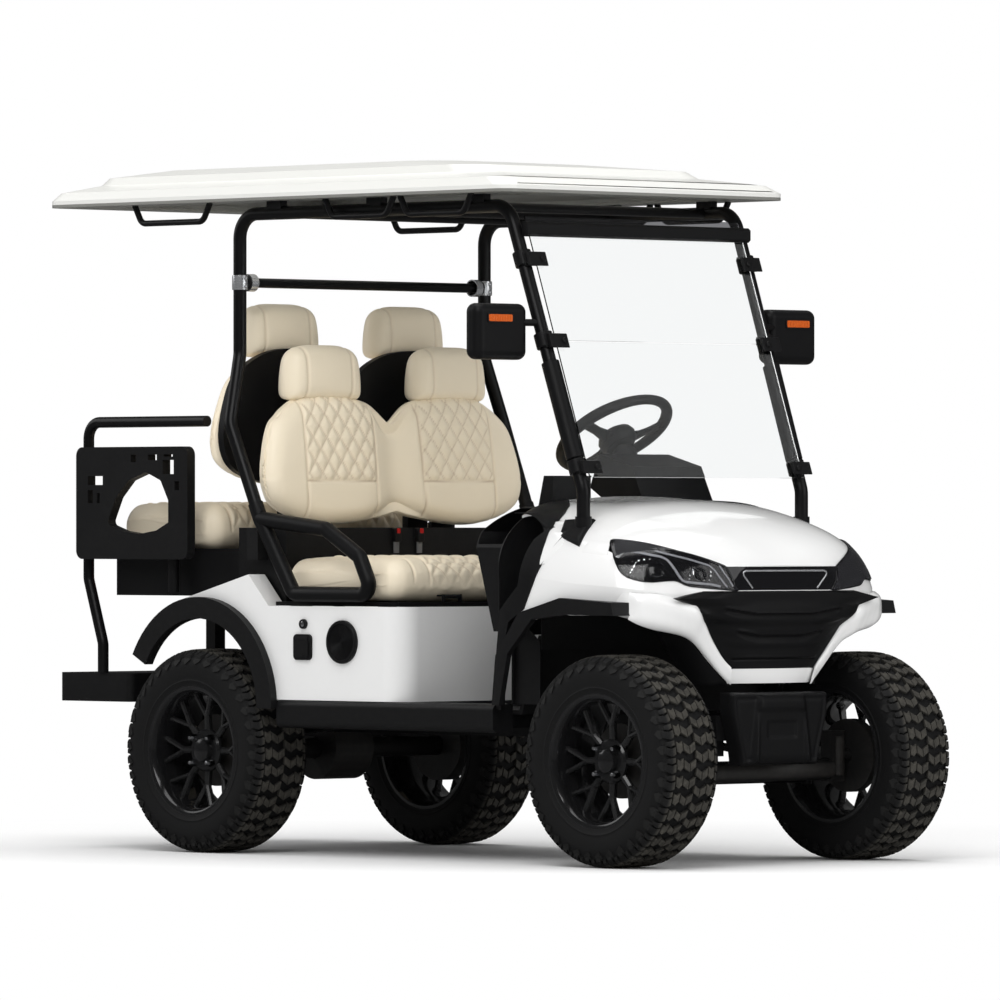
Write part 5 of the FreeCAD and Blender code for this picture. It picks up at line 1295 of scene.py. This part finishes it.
class CART_OT_nose(bpy.types.Operator):
    """Makes the nose strip's silver outline and the grille with its louvres."""
    bl_idname = "cart.nose"
    bl_label = "Nose strip and grille"

    def execute(self, context):
        surface = Surface("nose_strip", "front_cowl")
        grid = patch([(-0.186, 0.767), (0.186, 0.767)], [(-0.2235, 0.8325), (0.2235, 0.8325)],
                     [(-0.186, 0.767), (-0.207, 0.797), (-0.2235, 0.8325)],
                     [(0.186, 0.767), (0.207, 0.797), (0.2235, 0.8325)], 60, 12)
        add_piece("strip_skin", [surface.sheet(grid, 0.0012, -0.0012)], "gloss_black", sharp=0.7)
        line = ribbon(surface, SILVER_LINE, 0.005, 0.0030, 0.0008, pitch=0.003)
        add_piece("silver_outline", [line], "silver_line", slot="gloss_black")
        louvres = self.grille(Surface("grille", "front_cowl"))
        add_piece("grille_louvres", [louvres], "black_plastic", "grille", sharp=0.8)
        return {"FINISHED"}

    def grille(self, surface):
        """The grille as a fine net with its louvres pressed in."""
        stops, halves = zip(*GRILLE_EDGE)
        spans = [np.linspace(a, b, max(3, int((b - a) / 0.0022))) for a, b in zip(stops, stops[1:])]
        heights = np.unique(np.concatenate(spans))
        half = np.interp(heights, stops, halves)
        share = np.linspace(-1, 1, 101)
        grid = np.stack([half[:, None] * share[None, :], np.repeat(heights[:, None], len(share), axis=1)],
                        axis=-1)
        y, z = grid[..., 0], grid[..., 1]
        lifts = np.full(y.shape, 0.0008)
        # Each louvre is a small lip over a pressed channel, and bends up along its wings
        for top, straight, reach, rise, height, depth in LOUVRES:
            wing = np.clip((np.abs(y) - straight) / (reach - straight), 0, 1)
            below = top + rise * wing - z
            within = 1 - ramp(np.abs(y), reach - 0.012, reach)
            cut = ramp(below, 0.0, 0.004) * (1 - ramp(below, 0.005, height * (1 - 0.55 * wing)))
            lifts += (0.0022 * np.exp(-(below / 0.005) ** 2) - depth * cut) * within
        edge = np.minimum(half[:, None] - np.abs(y), np.minimum(z - heights[0], heights[-1] - z))
        lifts -= 0.003 * (1 - ramp(edge, 0.0, 0.004))
        face = self.bridged(surface.laid(grid, 0.0), 9)
        face[..., 0] += lifts
        back = face.copy()
        back[..., 0] -= 0.012
        return slab(face, back)

    def bridged(self, points, reach):
        """The net with the slots in its depth closed over, and its face smoothed."""
        def spread(depth, pick):
            wide = np.pad(depth, ((reach, reach), (0, 0)), mode="edge")
            return pick([wide[k:k + len(depth)] for k in range(2 * reach + 1)], axis=0)

        depth = relaxed(spread(spread(points[..., 0], np.max), np.min), 12)
        out = points.copy()
        out[..., 0] = np.maximum(depth, points[..., 0] - 0.002)
        return out


# Cheeks and liners round the grille, drawn on the right side

CHEEK_INNER = [(1.074, -0.484, 0.762), (1.101, -0.468, 0.759), (1.123, -0.438, 0.758),
               (1.139, -0.410, 0.753), (1.160, -0.368, 0.741), (1.178, -0.322, 0.722),
               (1.164, -0.283, 0.690), (1.155, -0.247, 0.640), (1.153, -0.216, 0.600),
               (1.153, -0.190, 0.572), (1.157, -0.168, 0.552)]
CHEEK_OUTER = [(1.086, -0.500, 0.688), (1.100, -0.472, 0.672), (1.113, -0.432, 0.659),
               (1.123, -0.388, 0.651), (1.130, -0.347, 0.643), (1.133, -0.318, 0.633),
               (1.133, -0.288, 0.617), (1.134, -0.256, 0.590), (1.137, -0.225, 0.560),
               (1.140, -0.190, 0.528), (1.146, -0.160, 0.503)]
CHEEK_BULGE = (0.006, 0.017, 0.022, 0.023, 0.022, 0.018, 0.012, 0.008, 0.006, 0.005, 0.004)
LINER_FRONT = [(1.134, 0.509), (1.130, 0.545), (1.124, 0.601), (1.118, 0.640), (1.112, 0.664)]
LINER_REAR = [(1.062, 0.509), (1.056, 0.545), (1.051, 0.601), (1.049, 0.640), (1.049, 0.664)]
COVER_REAR = [(0.772, 0.838), (0.771, 0.870), (0.767, 0.900), (0.757, 0.930), (0.750, 0.956)]
COVER_FRONT = [(0.792, 0.838), (0.812, 0.870), (0.823, 0.900), (0.828, 0.930), (0.806, 0.962)]
CAP_FRONT = [(0.752, -0.478), (0.757, -0.452), (0.745, -0.410), (0.717, -0.365)]
FLOOR_HALF = 0.4735
FLOOR_TOP = 0.6405
WALL_X = 0.6085
WALL_HALF = 0.488
WALL_FOOT_Z = 0.447
WALL_TOP_Z = 0.70


class CART_OT_cheeks(bpy.types.Operator):
    """Makes the white cheeks round the grille, their liners, the cowl's covers and the arches' walls."""
    bl_idname = "cart.cheeks"
    bl_label = "Cheeks and arch liners"

    def execute(self, context):
        add_piece("cowl_cheeks", both([self.cheek()]), "body_white", sharp=0.9)
        self.liners()
        self.covers()
        self.walls()
        return {"FINISHED"}

    def liners(self):
        """Black skins on the arches' inner faces, behind the cheeks."""
        grid = patch([LINER_REAR[0], LINER_FRONT[0]], [LINER_REAR[-1], LINER_FRONT[-1]], LINER_REAR,
                     LINER_FRONT, 14, 26)
        face = Surface("front_cowl").laid(grid, 0.0026, "y", -1)
        face[:, 0] += (-0.012, -0.001, 0.0)
        face[0, :, 2] -= 0.006
        add_piece("arch_liners", both([slab(face, face + (0.0, 0.0025, 0.0))]), "black_plastic")

    def walls(self):
        """The firewall behind the front wheels, with its sides and the strip over the floor's front."""
        wall = [(-WALL_HALF, WALL_FOOT_Z), (-FLOOR_HALF, WALL_FOOT_Z), (-FLOOR_HALF, FLOOR_TOP),
                (FLOOR_HALF, FLOOR_TOP), (FLOOR_HALF, WALL_FOOT_Z), (WALL_HALF, WALL_FOOT_Z),
                (WALL_HALF, WALL_TOP_Z), (-WALL_HALF, WALL_TOP_Z)]
        side = [(WALL_X + 0.005, WALL_FOOT_Z), (0.712, WALL_FOOT_Z), (0.712, 0.62),
                (WALL_X + 0.005, WALL_TOP_Z)]
        strip = [(-FLOOR_HALF, 0.60), (FLOOR_HALF, 0.60), (FLOOR_HALF, WALL_TOP_Z),
                 (-FLOOR_HALF, WALL_TOP_Z)]
        parts = [prism(wall, WALL_X, WALL_X + 0.004, "x"),
                 *both([prism(side, -FLOOR_HALF - 0.004, -FLOOR_HALF)]),
                 prism(strip, 0.7125, 0.7155, "x")]
        add_piece("arch_walls", parts, "black_plastic", smooth=False)

    def covers(self):
        """White skin behind each headlight and over the side trim, and the dashboard's black end caps."""
        beside = Surface("front_cowl", "headlights")
        corner = patch([(0.890, 0.868), (0.990, 0.858)], [(0.890, 0.914), (0.962, 0.907)],
                       [(0.890, 0.868), (0.890, 0.914)], [(0.990, 0.858), (0.976, 0.882), (0.962, 0.907)],
                       16, 10)
        rise, run = np.linspace(0, 1, 11)[:, None], np.linspace(0, 1, 17)[None, :]
        lifts = -0.0008 + 0.0020 * ramp(np.minimum(np.minimum(rise, 1 - rise), run), 0.0, 0.25)
        white = [beside.sheet(corner, lifts, -0.0016, "y", -1)]
        trims = Surface("front_cowl", "cowl_trims")
        side = patch([COVER_REAR[0], COVER_FRONT[0]], [COVER_REAR[-1], COVER_FRONT[-1]], COVER_REAR,
                     COVER_FRONT, 12, 24)
        face = trims.laid(side, 0.0026 - 0.0032 * ramp(np.linspace(0, 1, 13), 0.65, 1.0)[None, :], "y", -1)
        face[..., 1] = relaxed(face[..., 1], 8)
        white.append(slab(face, trims.laid(side, -0.0016, "y", -1)))
        add_piece("cowl_covers", both(white), "body_white")
        end = patch([(0.603, -0.470), (0.752, -0.478)], [(0.603, -0.262), (0.717, -0.365)],
                    [(0.603, -0.470), (0.603, -0.262)], CAP_FRONT, 16, 16)
        add_piece("dash_end_caps", both([trims.sheet(end, 0.0030, 0.0002, "z")]), "black_plastic")

    def cheek(self):
        """One cheek: a rounded band from the flare's end down round the grille's foot."""
        inner, outer = (np.array(curve_through(line, 6)) for line in (CHEEK_INNER, CHEEK_OUTER))
        bulge = np.interp(np.linspace(0, len(CHEEK_BULGE) - 1, len(inner)), range(len(CHEEK_BULGE)),
                          CHEEK_BULGE)
        shares = np.linspace(0, 1, 13)[None, :, None]
        net = inner[:, None] * (1 - shares) + outer[:, None] * shares
        way = np.cross(np.gradient(net, axis=0), np.gradient(net, axis=1))
        way /= np.linalg.norm(way, axis=-1, keepdims=True)
        way *= np.sign(way[..., :1])
        swell = (1 - (2 * shares[..., 0] - 1) ** 4) * bulge[:, None]
        face = net + way * swell[..., None]
        return slab(face, net - way * 0.003)


# Small fittings

# Clips: height on the pillar and half length, and their jaws: start and end past it in x, reach in y
CLIPS = ((1.110, 0.018), (1.464, 0.020), (1.694, 0.020))
CLIP_RADIUS = 0.0265
JAWS = ((0.0325, 0.044, 0.052), (0.010, 0.0232, 0.046))
SLEEVE_FOOT_Z, SLEEVE_TOP_Z = 1.132, 1.403
SLEEVE_RADIUS = 0.0255
CLIP_SCREW = [(0.0, 0.0), (0.009, 0.0), (0.009, 0.004), (0.006, 0.0055), (0.0, 0.006)]
TOP_RAIL = [(0.6021, 1.757), (0.6205, 1.757), (0.6291, 1.764), (0.6291, 1.792), (0.6205, 1.799),
            (0.6021, 1.799)]
PILLAR_LOW, PILLAR_HIGH = (0.841, 0.434, 1.046), (0.555, 0.446, 1.845)
TUBE_RADIUS = 0.019
POST = (-0.524, -0.4875, 1.648)
CLAMP_SCREW = [(0.0, 0.0), (0.0052, 0.0), (0.0052, 0.003), (0.003, 0.0045), (0.0, 0.005)]
REFLECTOR_PLACE = (-0.5925, 1.5255)
PANEL_Y = -0.5473
LOCK_PLACE = (-0.192, PANEL_Y, 0.665)
SPEAKER_PLACE = (-0.029, PANEL_Y, 0.615)
WHEEL_PLACE = (0.300, 0.215, 1.212)
WHEEL_WAY = (-0.5736, 0.0, 0.8192)
WHEEL_UP = (0.8192, 0.0, 0.5736)
WHEEL_RING = 0.165
BUMPER_ROUND = 0.030


def pillar_place(z):
    """The right windscreen pillar's centre at a height."""
    share = (z - PILLAR_LOW[2]) / (PILLAR_HIGH[2] - PILLAR_LOW[2])
    low, high = np.array(PILLAR_LOW), np.array(PILLAR_HIGH)
    x, y, _ = low + (high - low) * share
    return (x, -y, z)


class CART_OT_screen_fittings(bpy.types.Operator):
    """Makes the windscreen's clips, the sleeves on its pillars, its top bar and the pillars' foot pads."""
    bl_idname = "cart.screen_fittings"
    bl_label = "Windscreen fittings"

    def execute(self, context):
        lean = (PILLAR_LOW[0] - PILLAR_HIGH[0]) / (PILLAR_HIGH[2] - PILLAR_LOW[2])
        sleeve = [pillar_place(z) for z in np.linspace(SLEEVE_FOOT_Z, SLEEVE_TOP_Z, 12)]
        parts = [bar(sleeve, SLEEVE_RADIUS, sides=28)]
        for z, half in CLIPS:
            x, y, _ = pillar_place(z)
            span = [pillar_place(z - half), pillar_place(z), pillar_place(z + half)]
            parts.append(bar(span, CLIP_RADIUS, sides=28))
            for near, far, reach in JAWS:
                jaw = [(x + near + lean * half, z - half), (x + far + lean * half, z - half),
                       (x + far - lean * half, z + half), (x + near - lean * half, z + half)]
                parts.append(prism(jaw, y - 0.018, y + reach))
            parts += turned_to([turned(CLIP_SCREW, 20)], (x + 0.0445, y + 0.034, z), (1.0, 0.0, lean))
        rail = prism(TOP_RAIL, -0.444, 0.444)
        clips = add_piece("screen_clips", [*both(parts), rail], "black_plastic", "windscreen_fittings",
                          sharp=0.7)
        bevelled(clips, 0.0022)
        self.pads(Surface("front_cowl"))
        return {"FINISHED"}

    def pads(self, surface):
        """The rounded pads under the pillars, with their collars."""
        grid = patch([(0.799, -0.484), (0.884, -0.491)], [(0.772, -0.440), (0.852, -0.396)],
                     [(0.799, -0.484), (0.772, -0.440)], [(0.884, -0.491), (0.852, -0.396)], 22, 22)
        share = np.abs(np.linspace(-1, 1, 23))
        edge = 1 - np.maximum(share[:, None], share[None, :])
        lifts = 0.0015 + 0.0095 * np.sqrt(np.clip(1 - (1 - np.clip(edge / 0.28, 0, 1)) ** 2, 0, 1))
        pad = surface.sheet(grid, lifts, 0.0003, "z")
        x, y, _ = PILLAR_LOW
        collar = bar([(x, -y, 0.938), (x, -y, 0.950), (x, -y, 0.972)], 0.0235, sides=28)
        add_piece("pillar_pads", both([pad, collar]), "black_plastic", "pillar_boots", sharp=0.7)


class CART_OT_steering(bpy.types.Operator):
    """Makes the steering wheel: a padded rim with grips, three broad spokes and a domed hub."""
    bl_idname = "cart.steering"
    bl_label = "Steering wheel"

    def execute(self, context):
        place, way, up = Vector(WHEEL_PLACE), Vector(WHEEL_WAY), Vector(WHEEL_UP)
        side = Vector((0.0, 1.0, 0.0))
        rim, turns, sides = [], 96, 20
        for i in range(turns):
            turn = 2 * math.pi * i / turns
            thick = 0.0155 + 0.0012 * math.cos(3 * turn + math.pi)
            out = up * math.cos(turn) + side * math.sin(turn)
            rim += [place + out * (WHEEL_RING + thick * math.cos(a) * (1.06 if math.cos(a) > 0 else 0.94))
                    + way * (thick * math.sin(a))
                    for a in np.linspace(0, 2 * math.pi, sides, endpoint=False)]
        hub = [(0.0, -0.048), (0.044, -0.048), (0.054, -0.038), (0.057, -0.018), (0.050, -0.004),
               (0.034, 0.004), (0.016, 0.007), (0.0, 0.0075)]
        parts = [(rim, ring_faces(turns, sides, closed=True)), *turned_to([turned(hub, 64)], place, way)]
        for degrees in (180, 74, -74):
            turn = math.radians(degrees)
            out = up * math.cos(turn) + side * math.sin(turn)
            parts.append(self.spoke(place, out, way.cross(out), way))
        parts.append(bar([place + way * depth for depth in (-0.046, -0.053, -0.060)], 0.016))
        wheel = make_object("steering_grip", *gathered(parts), "black_plastic", sharp=0.7)
        settled(wheel, "steering", "black_plastic", "steering_wheel")
        return {"FINISHED"}

    def spoke(self, place, out, across, way):
        """One broad spoke, hollowed a little towards the rim."""
        vertices, sides = [], 16
        stations = ((0.040, -0.024, 0.027, 0.010), (0.070, -0.021, 0.020, 0.008),
                    (0.105, -0.013, 0.015, 0.007), (0.140, -0.004, 0.016, 0.007),
                    (0.162, 0.0, 0.022, 0.008))
        for reach, depth, half, thick in stations:
            for a in np.linspace(0, 2 * math.pi, sides, endpoint=False):
                wide = math.copysign(abs(math.cos(a)) ** 0.6, math.cos(a)) * half
                deep = math.copysign(abs(math.sin(a)) ** 0.8, math.sin(a)) * thick
                vertices.append(place + out * reach + across * wide + way * (depth + deep))
        return vertices, ring_faces(len(stations), sides) + end_faces(len(stations), sides)


def box_outline(u, v, half_u, half_v):
    """A rectangle's outline about its middle."""
    return [(u - half_u, v - half_v), (u + half_u, v - half_v), (u + half_u, v + half_v),
            (u - half_u, v + half_v)]


class CART_OT_small_parts(bpy.types.Operator):
    """Makes the reflectors, the crossbar's clamps, the buckles, the side panels' fittings and the bumper."""
    bl_idname = "cart.small_parts"
    bl_label = "Small fittings"

    def execute(self, context):
        self.reflectors()
        self.clamps()
        self.buckles()
        self.side_rings()
        self.bumper()
        return {"FINISHED"}

    def rounded(self, middle, half_u, half_v, corner, steps=5):
        """A rounded rectangle's outline."""
        points = []
        for sign_u, sign_v, start in ((1, 1, 0.0), (-1, 1, 0.5), (-1, -1, 1.0), (1, -1, 1.5)):
            for a in np.linspace(start * math.pi, (start + 0.5) * math.pi, steps):
                points.append((middle[0] + sign_u * (half_u - corner) + corner * math.cos(a),
                               middle[1] + sign_v * (half_v - corner) + corner * math.sin(a)))
        return points

    def reflectors(self):
        """Orange lenses with upright ribs, each in a thin black frame, on the mirrors' fronts."""
        middle_y, middle_z = REFLECTOR_PLACE
        border = prism(self.rounded(REFLECTOR_PLACE, 0.049, 0.0135, 0.006), 0.6712, 0.6735, "x")
        lens = [prism(self.rounded(REFLECTOR_PLACE, 0.045, 0.0098, 0.004), 0.6713, 0.6750, "x")]
        for i in range(-6, 7):
            rib = box_outline(middle_y + i * 0.0064, middle_z, 0.0018, 0.0083)
            lens.append(prism(rib, 0.6745, 0.6762, "x"))
        pieces = [make_object("frame", *gathered(both([border])), "black_plastic", smooth=False),
                  make_object("lens", *gathered(both(lens)), "orange_lens", smooth=False)]
        settled(together("mirror_reflectors", pieces), "root", "black_plastic")

    def clamps(self):
        """Bright bands that hold the crossbar to the roof posts."""
        x, y, z = POST
        band = [(TUBE_RADIUS + 0.0006, -0.021), (TUBE_RADIUS + 0.0036, -0.021),
                (TUBE_RADIUS + 0.0042, -0.016), (TUBE_RADIUS + 0.0042, 0.016),
                (TUBE_RADIUS + 0.0036, 0.021), (TUBE_RADIUS + 0.0006, 0.021)]
        parts = turned_to([turned(band, 48)], (x, y, z), (0.0, 0.0, 1.0))
        sleeve = [(0.0226, -0.013), (0.0252, -0.013), (0.0256, 0.012), (0.0226, 0.012)]
        parts += turned_to([turned(sleeve, 40)], (x, y + 0.040, z), (0.0, 1.0, 0.0))
        for shift in (-0.012, 0.012):
            head = turned(CLAMP_SCREW, 12)
            parts += turned_to([head], (x + TUBE_RADIUS + 0.004, y, z + shift), (1.0, 0.0, 0.0))
        add_piece("crossbar_clamps", both(parts), "silver_line", slot="black_metal", sharp=0.6)

    def buckles(self):
        """Black buckles on their straps, each with a small red button."""
        bodies, buttons, straps = [], [], []
        for y in (-0.046, 0.046):
            bodies.append(prism(self.rounded((y, 0.919), 0.0118, 0.0205, 0.004), -0.3445, -0.3260, "x"))
            buttons.append(prism(self.rounded((y, 0.931), 0.0062, 0.0072, 0.002), -0.3262, -0.3235, "x"))
            strap = [(y - 0.009, 0.8665), (y + 0.009, 0.8665), (y + 0.0098, 0.901), (y - 0.0098, 0.901)]
            straps.append(prism(strap, -0.3375, -0.3330, "x"))
        body = make_object("body", *gathered(bodies), "black_plastic")
        bevelled(body, 0.0018)
        button = make_object("button", *gathered(buttons), "red_lens")
        bevelled(button, 0.0008)
        strap = make_object("strap", *gathered(straps), "grey_strap", smooth=False)
        for piece in (body, button):
            piece.data.set_sharp_from_angle(angle=0.6)
            bpy.context.view_layer.objects.active = piece
            bpy.ops.object.modifier_apply(modifier="rounded")
        settled(together("buckles", [body, button, strap]), "root", "red_lens", "belt_buckles")

    def side_rings(self):
        """The loudspeaker's ring and ribs, the lock's bright face and the socket's hinged cap."""
        ribs = [(0.0, 0.0002), (0.0, 0.0018)]
        for i in range(12):
            radius = 0.004 + i * 0.0040
            ribs += [(radius, 0.0018), (radius + 0.0006, 0.0006), (radius + 0.0026, 0.0006),
                     (radius + 0.0034, 0.0018)]
        ribs += [(0.0515, 0.0022), (0.0525, 0.0042), (0.0595, 0.0046), (0.0612, 0.0030), (0.0612, 0.0002)]
        speaker = self.outwards(ribs, 72, SPEAKER_PLACE)
        add_piece("speaker_rings", both(speaker), "black_plastic", sharp=0.5)
        ring = [(0.0085, 0.0002), (0.0085, 0.0030), (0.0128, 0.0030), (0.0136, 0.0018), (0.0136, 0.0002)]
        disc = [(0.0, 0.0002), (0.0078, 0.0002), (0.0078, 0.0016), (0.006, 0.0022), (0.0, 0.0022)]
        lock, face = self.outwards(ring, 40, LOCK_PLACE), self.outwards(disc, 32, LOCK_PLACE)
        cap = [prism(self.rounded((-0.195, 0.595), 0.028, 0.026, 0.009), -0.5505, -0.5474),
               prism([(-0.221, 0.622), (-0.169, 0.622), (-0.172, 0.631), (-0.218, 0.631)],
                     -0.5495, -0.5474),
               prism([(-0.203, 0.572), (-0.187, 0.572), (-0.188, 0.577), (-0.202, 0.577)],
                     -0.5525, -0.5503)]
        pieces = [make_object("lock_ring", *gathered([*lock, *cap]), "black_plastic", sharp=0.5),
                  make_object("lock_face", *gathered(face), "chrome", sharp=0.5)]
        settled(together("lock_and_socket", pieces), "root", "black_plastic")

    def outwards(self, profile, steps, place):
        """A round fitting on the right side panel. Points are radius and how far it stands out."""
        return turned_to([turned([(r, -out) for r, out in profile], steps)], place, (0.0, 1.0, 0.0))

    def bumper(self):
        """The bumper as one rounded moulding with a stepped face and a recess."""
        low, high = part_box("front_bumper")
        rows, columns = 61, 81
        v = np.linspace(0, 1, rows)[:, None]
        u = np.linspace(-1, 1, columns)[None, :]
        top_half, foot_half = high.y - 0.001, high.y * 0.80
        half = foot_half + (top_half - foot_half) * ramp(v, 0.0, 0.85)
        y = half * u
        z = low.z + (high.z - low.z) * v + 0 * u
        edge = np.minimum((1 - np.abs(u)) * half, np.minimum(v, 1 - v) * (high.z - low.z))
        # A rounded border, then the step back at the sides, the shelf under the top and the recess
        inward = 1 - np.clip(edge / BUMPER_ROUND, 0, 1)
        x = high.x - BUMPER_ROUND * (1 - np.sqrt(np.clip(1 - inward ** 2, 0, 1)))
        x = x - 0.012 * ramp(np.abs(y), 0.105 - 0.03 * v, 0.128 - 0.03 * v) * ramp(edge, 0.004, 0.02)
        x = x - 0.006 * ramp(v, 0.80, 0.72) * ramp(np.abs(y), 0.100, 0.085)
        x = x - 0.004 * ramp(0.060 - np.abs(y), 0.0, 0.008) * ramp(v, 0.36, 0.40) * ramp(v, 0.62, 0.58)
        face = np.stack([x, y, z], axis=-1)
        back = np.stack([np.full(x.shape, low.x + 0.002), y, z], axis=-1)
        add_piece("bumper_moulding", [slab(face, back)], "black_plastic", "front_bumper", sharp=0.9)


# Studio and frame

# Lamps: name, place, size in metres and power in watts
LAMPS = (("key", (4.0, -5.5, 6.5), 5.0, 330.0), ("fill", (7.5, 2.5, 3.5), 5.0, 130.0),
         ("top", (-0.5, 0.5, 7.0), 6.0, 290.0), ("back", (-6.0, -3.0, 4.0), 4.0, 90.0))
LAMPS_AIM = Vector((0, 0, 0.8))
WORLD_LIGHT = 0.46
FLOOR_REACH = 60.0
PALE, DIM = (0.93, 0.93, 0.93), (0.15, 0.15, 0.15)
# The floor's own shading fades to plain white between these distances from the cart's middle
FADE_FROM, FADE_TO = 1.6, 3.2


class CART_OT_stage(bpy.types.Operator):
    """Makes the pale floor, the soft studio lamps, the white surround and the camera."""
    bl_idname = "cart.stage"
    bl_label = "Studio"

    def execute(self, context):
        scene = context.scene
        scene.view_settings.view_transform = "Standard"
        self.camera(scene)
        self.floor()
        self.lamps(scene)
        self.surround(scene)
        return {"FINISHED"}

    def camera(self, scene):
        """The photograph's camera."""
        data = bpy.data.cameras.new("view")
        data.lens = CAMERA_LENS
        data.shift_y = CAMERA_SHIFT
        data.clip_end = 200.0
        data.dof.use_dof = False
        camera = bpy.data.objects.new("view", data)
        camera.location = CAMERA_PLACE
        camera.rotation_euler = Vector(CAMERA_AIM).to_track_quat("-Z", "Y").to_euler()
        scene.collection.objects.link(camera)
        scene.camera = camera

    def floor(self):
        """A level floor that reaches past the picture."""
        corners = [(x, y, 0) for x, y in box_outline(0, 0, FLOOR_REACH, FLOOR_REACH)]
        mesh = bpy.data.meshes.new("floor")
        mesh.from_pydata(corners, [], [(0, 1, 2, 3)])
        floor = bpy.data.objects.new("floor", mesh)
        bpy.context.scene.collection.objects.link(floor)
        mesh.materials.append(self.floor_material())

    def floor_material(self):
        """Matt white near the cart, where its shadow lies, and plain white farther off."""
        tree, shader = start_material("floor_pale", roughness=0.7, specular_ior_level=0.1)
        place = object_place(tree)
        reach = tree.nodes.new("ShaderNodeVectorMath")
        reach.operation = "LENGTH"
        tree.links.new(place, reach.inputs[0])
        fade = tree.nodes.new("ShaderNodeMapRange")
        fade.interpolation_type = "SMOOTHSTEP"
        fade.inputs["From Min"].default_value = FADE_FROM
        fade.inputs["From Max"].default_value = FADE_TO
        tree.links.new(reach.outputs["Value"], fade.inputs["Value"])
        seen, mirror = ray_masks(tree)
        tree.links.new(mixed(tree, mirror, PALE, DIM), shader.inputs["Base Color"])
        glow = tree.nodes.new("ShaderNodeEmission")
        share = math_node(tree, "MULTIPLY", seen, fade.outputs["Result"])
        show_mix(tree, share, shader.outputs[0], glow.outputs[0])
        return MATERIALS["floor_pale"]

    def lamps(self, scene):
        """Square area lamps, all turned to the cart."""
        for name, place, size, power in LAMPS:
            data = bpy.data.lights.new(name, "AREA")
            data.size = size
            data.energy = power
            lamp = bpy.data.objects.new(name, data)
            lamp.location = place
            lamp.rotation_euler = (LAMPS_AIM - Vector(place)).to_track_quat("-Z", "Y").to_euler()
            scene.collection.objects.link(lamp)

    def surround(self, scene):
        """White where the camera sees it, grey as a light and dim in the cart's reflections."""
        world = bpy.data.worlds.new("studio")
        world.use_nodes = True
        tree = world.node_tree
        back = tree.nodes["Background"]
        seen, mirror = ray_masks(tree)
        strength = tree.nodes.new("ShaderNodeMix")
        strength.inputs["A"].default_value = WORLD_LIGHT
        strength.inputs["B"].default_value = 1.0
        tree.links.new(seen, strength.inputs["Factor"])
        dim = math_node(tree, "SUBTRACT", 1.0, math_node(tree, "MULTIPLY", mirror, 0.85))
        tree.links.new(math_node(tree, "MULTIPLY", strength.outputs["Result"], dim),
                       back.inputs["Strength"])
        back.inputs["Color"].default_value = (1, 1, 1, 1)
        scene.world = world


class CART_OT_frame(bpy.types.Operator):
    """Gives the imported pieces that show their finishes."""
    bl_idname = "cart.frame"
    bl_label = "Frame finishes"

    def execute(self, context):
        build_materials()
        dress_nodes()
        return {"FINISHED"}


class CART_PT_panel(bpy.types.Panel):
    """Lists the cart's pieces in the sidebar."""
    bl_idname = "CART_PT_panel"
    bl_label = "Golf cart"
    bl_space_type = "VIEW_3D"
    bl_region_type = "UI"
    bl_category = "Golf cart"

    def draw(self, context):
        for operator in OPERATORS:
            self.layout.operator(operator.bl_idname)


OPERATORS = (CART_OT_frame, CART_OT_wheels, CART_OT_backs, CART_OT_cushions, CART_OT_headrests,
             CART_OT_lamps, CART_OT_nose, CART_OT_cheeks, CART_OT_screen_fittings, CART_OT_steering,
             CART_OT_small_parts, CART_OT_stage)
CLASSES = (CartColours, CartSizes, *OPERATORS, CART_PT_panel)


def register():
    for one in CLASSES:
        bpy.utils.register_class(one)
    bpy.types.Scene.cart_colours = bpy.props.PointerProperty(type=CartColours)
    bpy.types.Scene.cart_sizes = bpy.props.PointerProperty(type=CartSizes)


def unregister():
    del bpy.types.Scene.cart_colours
    del bpy.types.Scene.cart_sizes
    for one in reversed(CLASSES):
        bpy.utils.unregister_class(one)


def main():
    register()
    for operator in OPERATORS:
        group, name = operator.bl_idname.split(".")
        getattr(getattr(bpy.ops, group), name)()


if __name__ == "__main__":
    main()
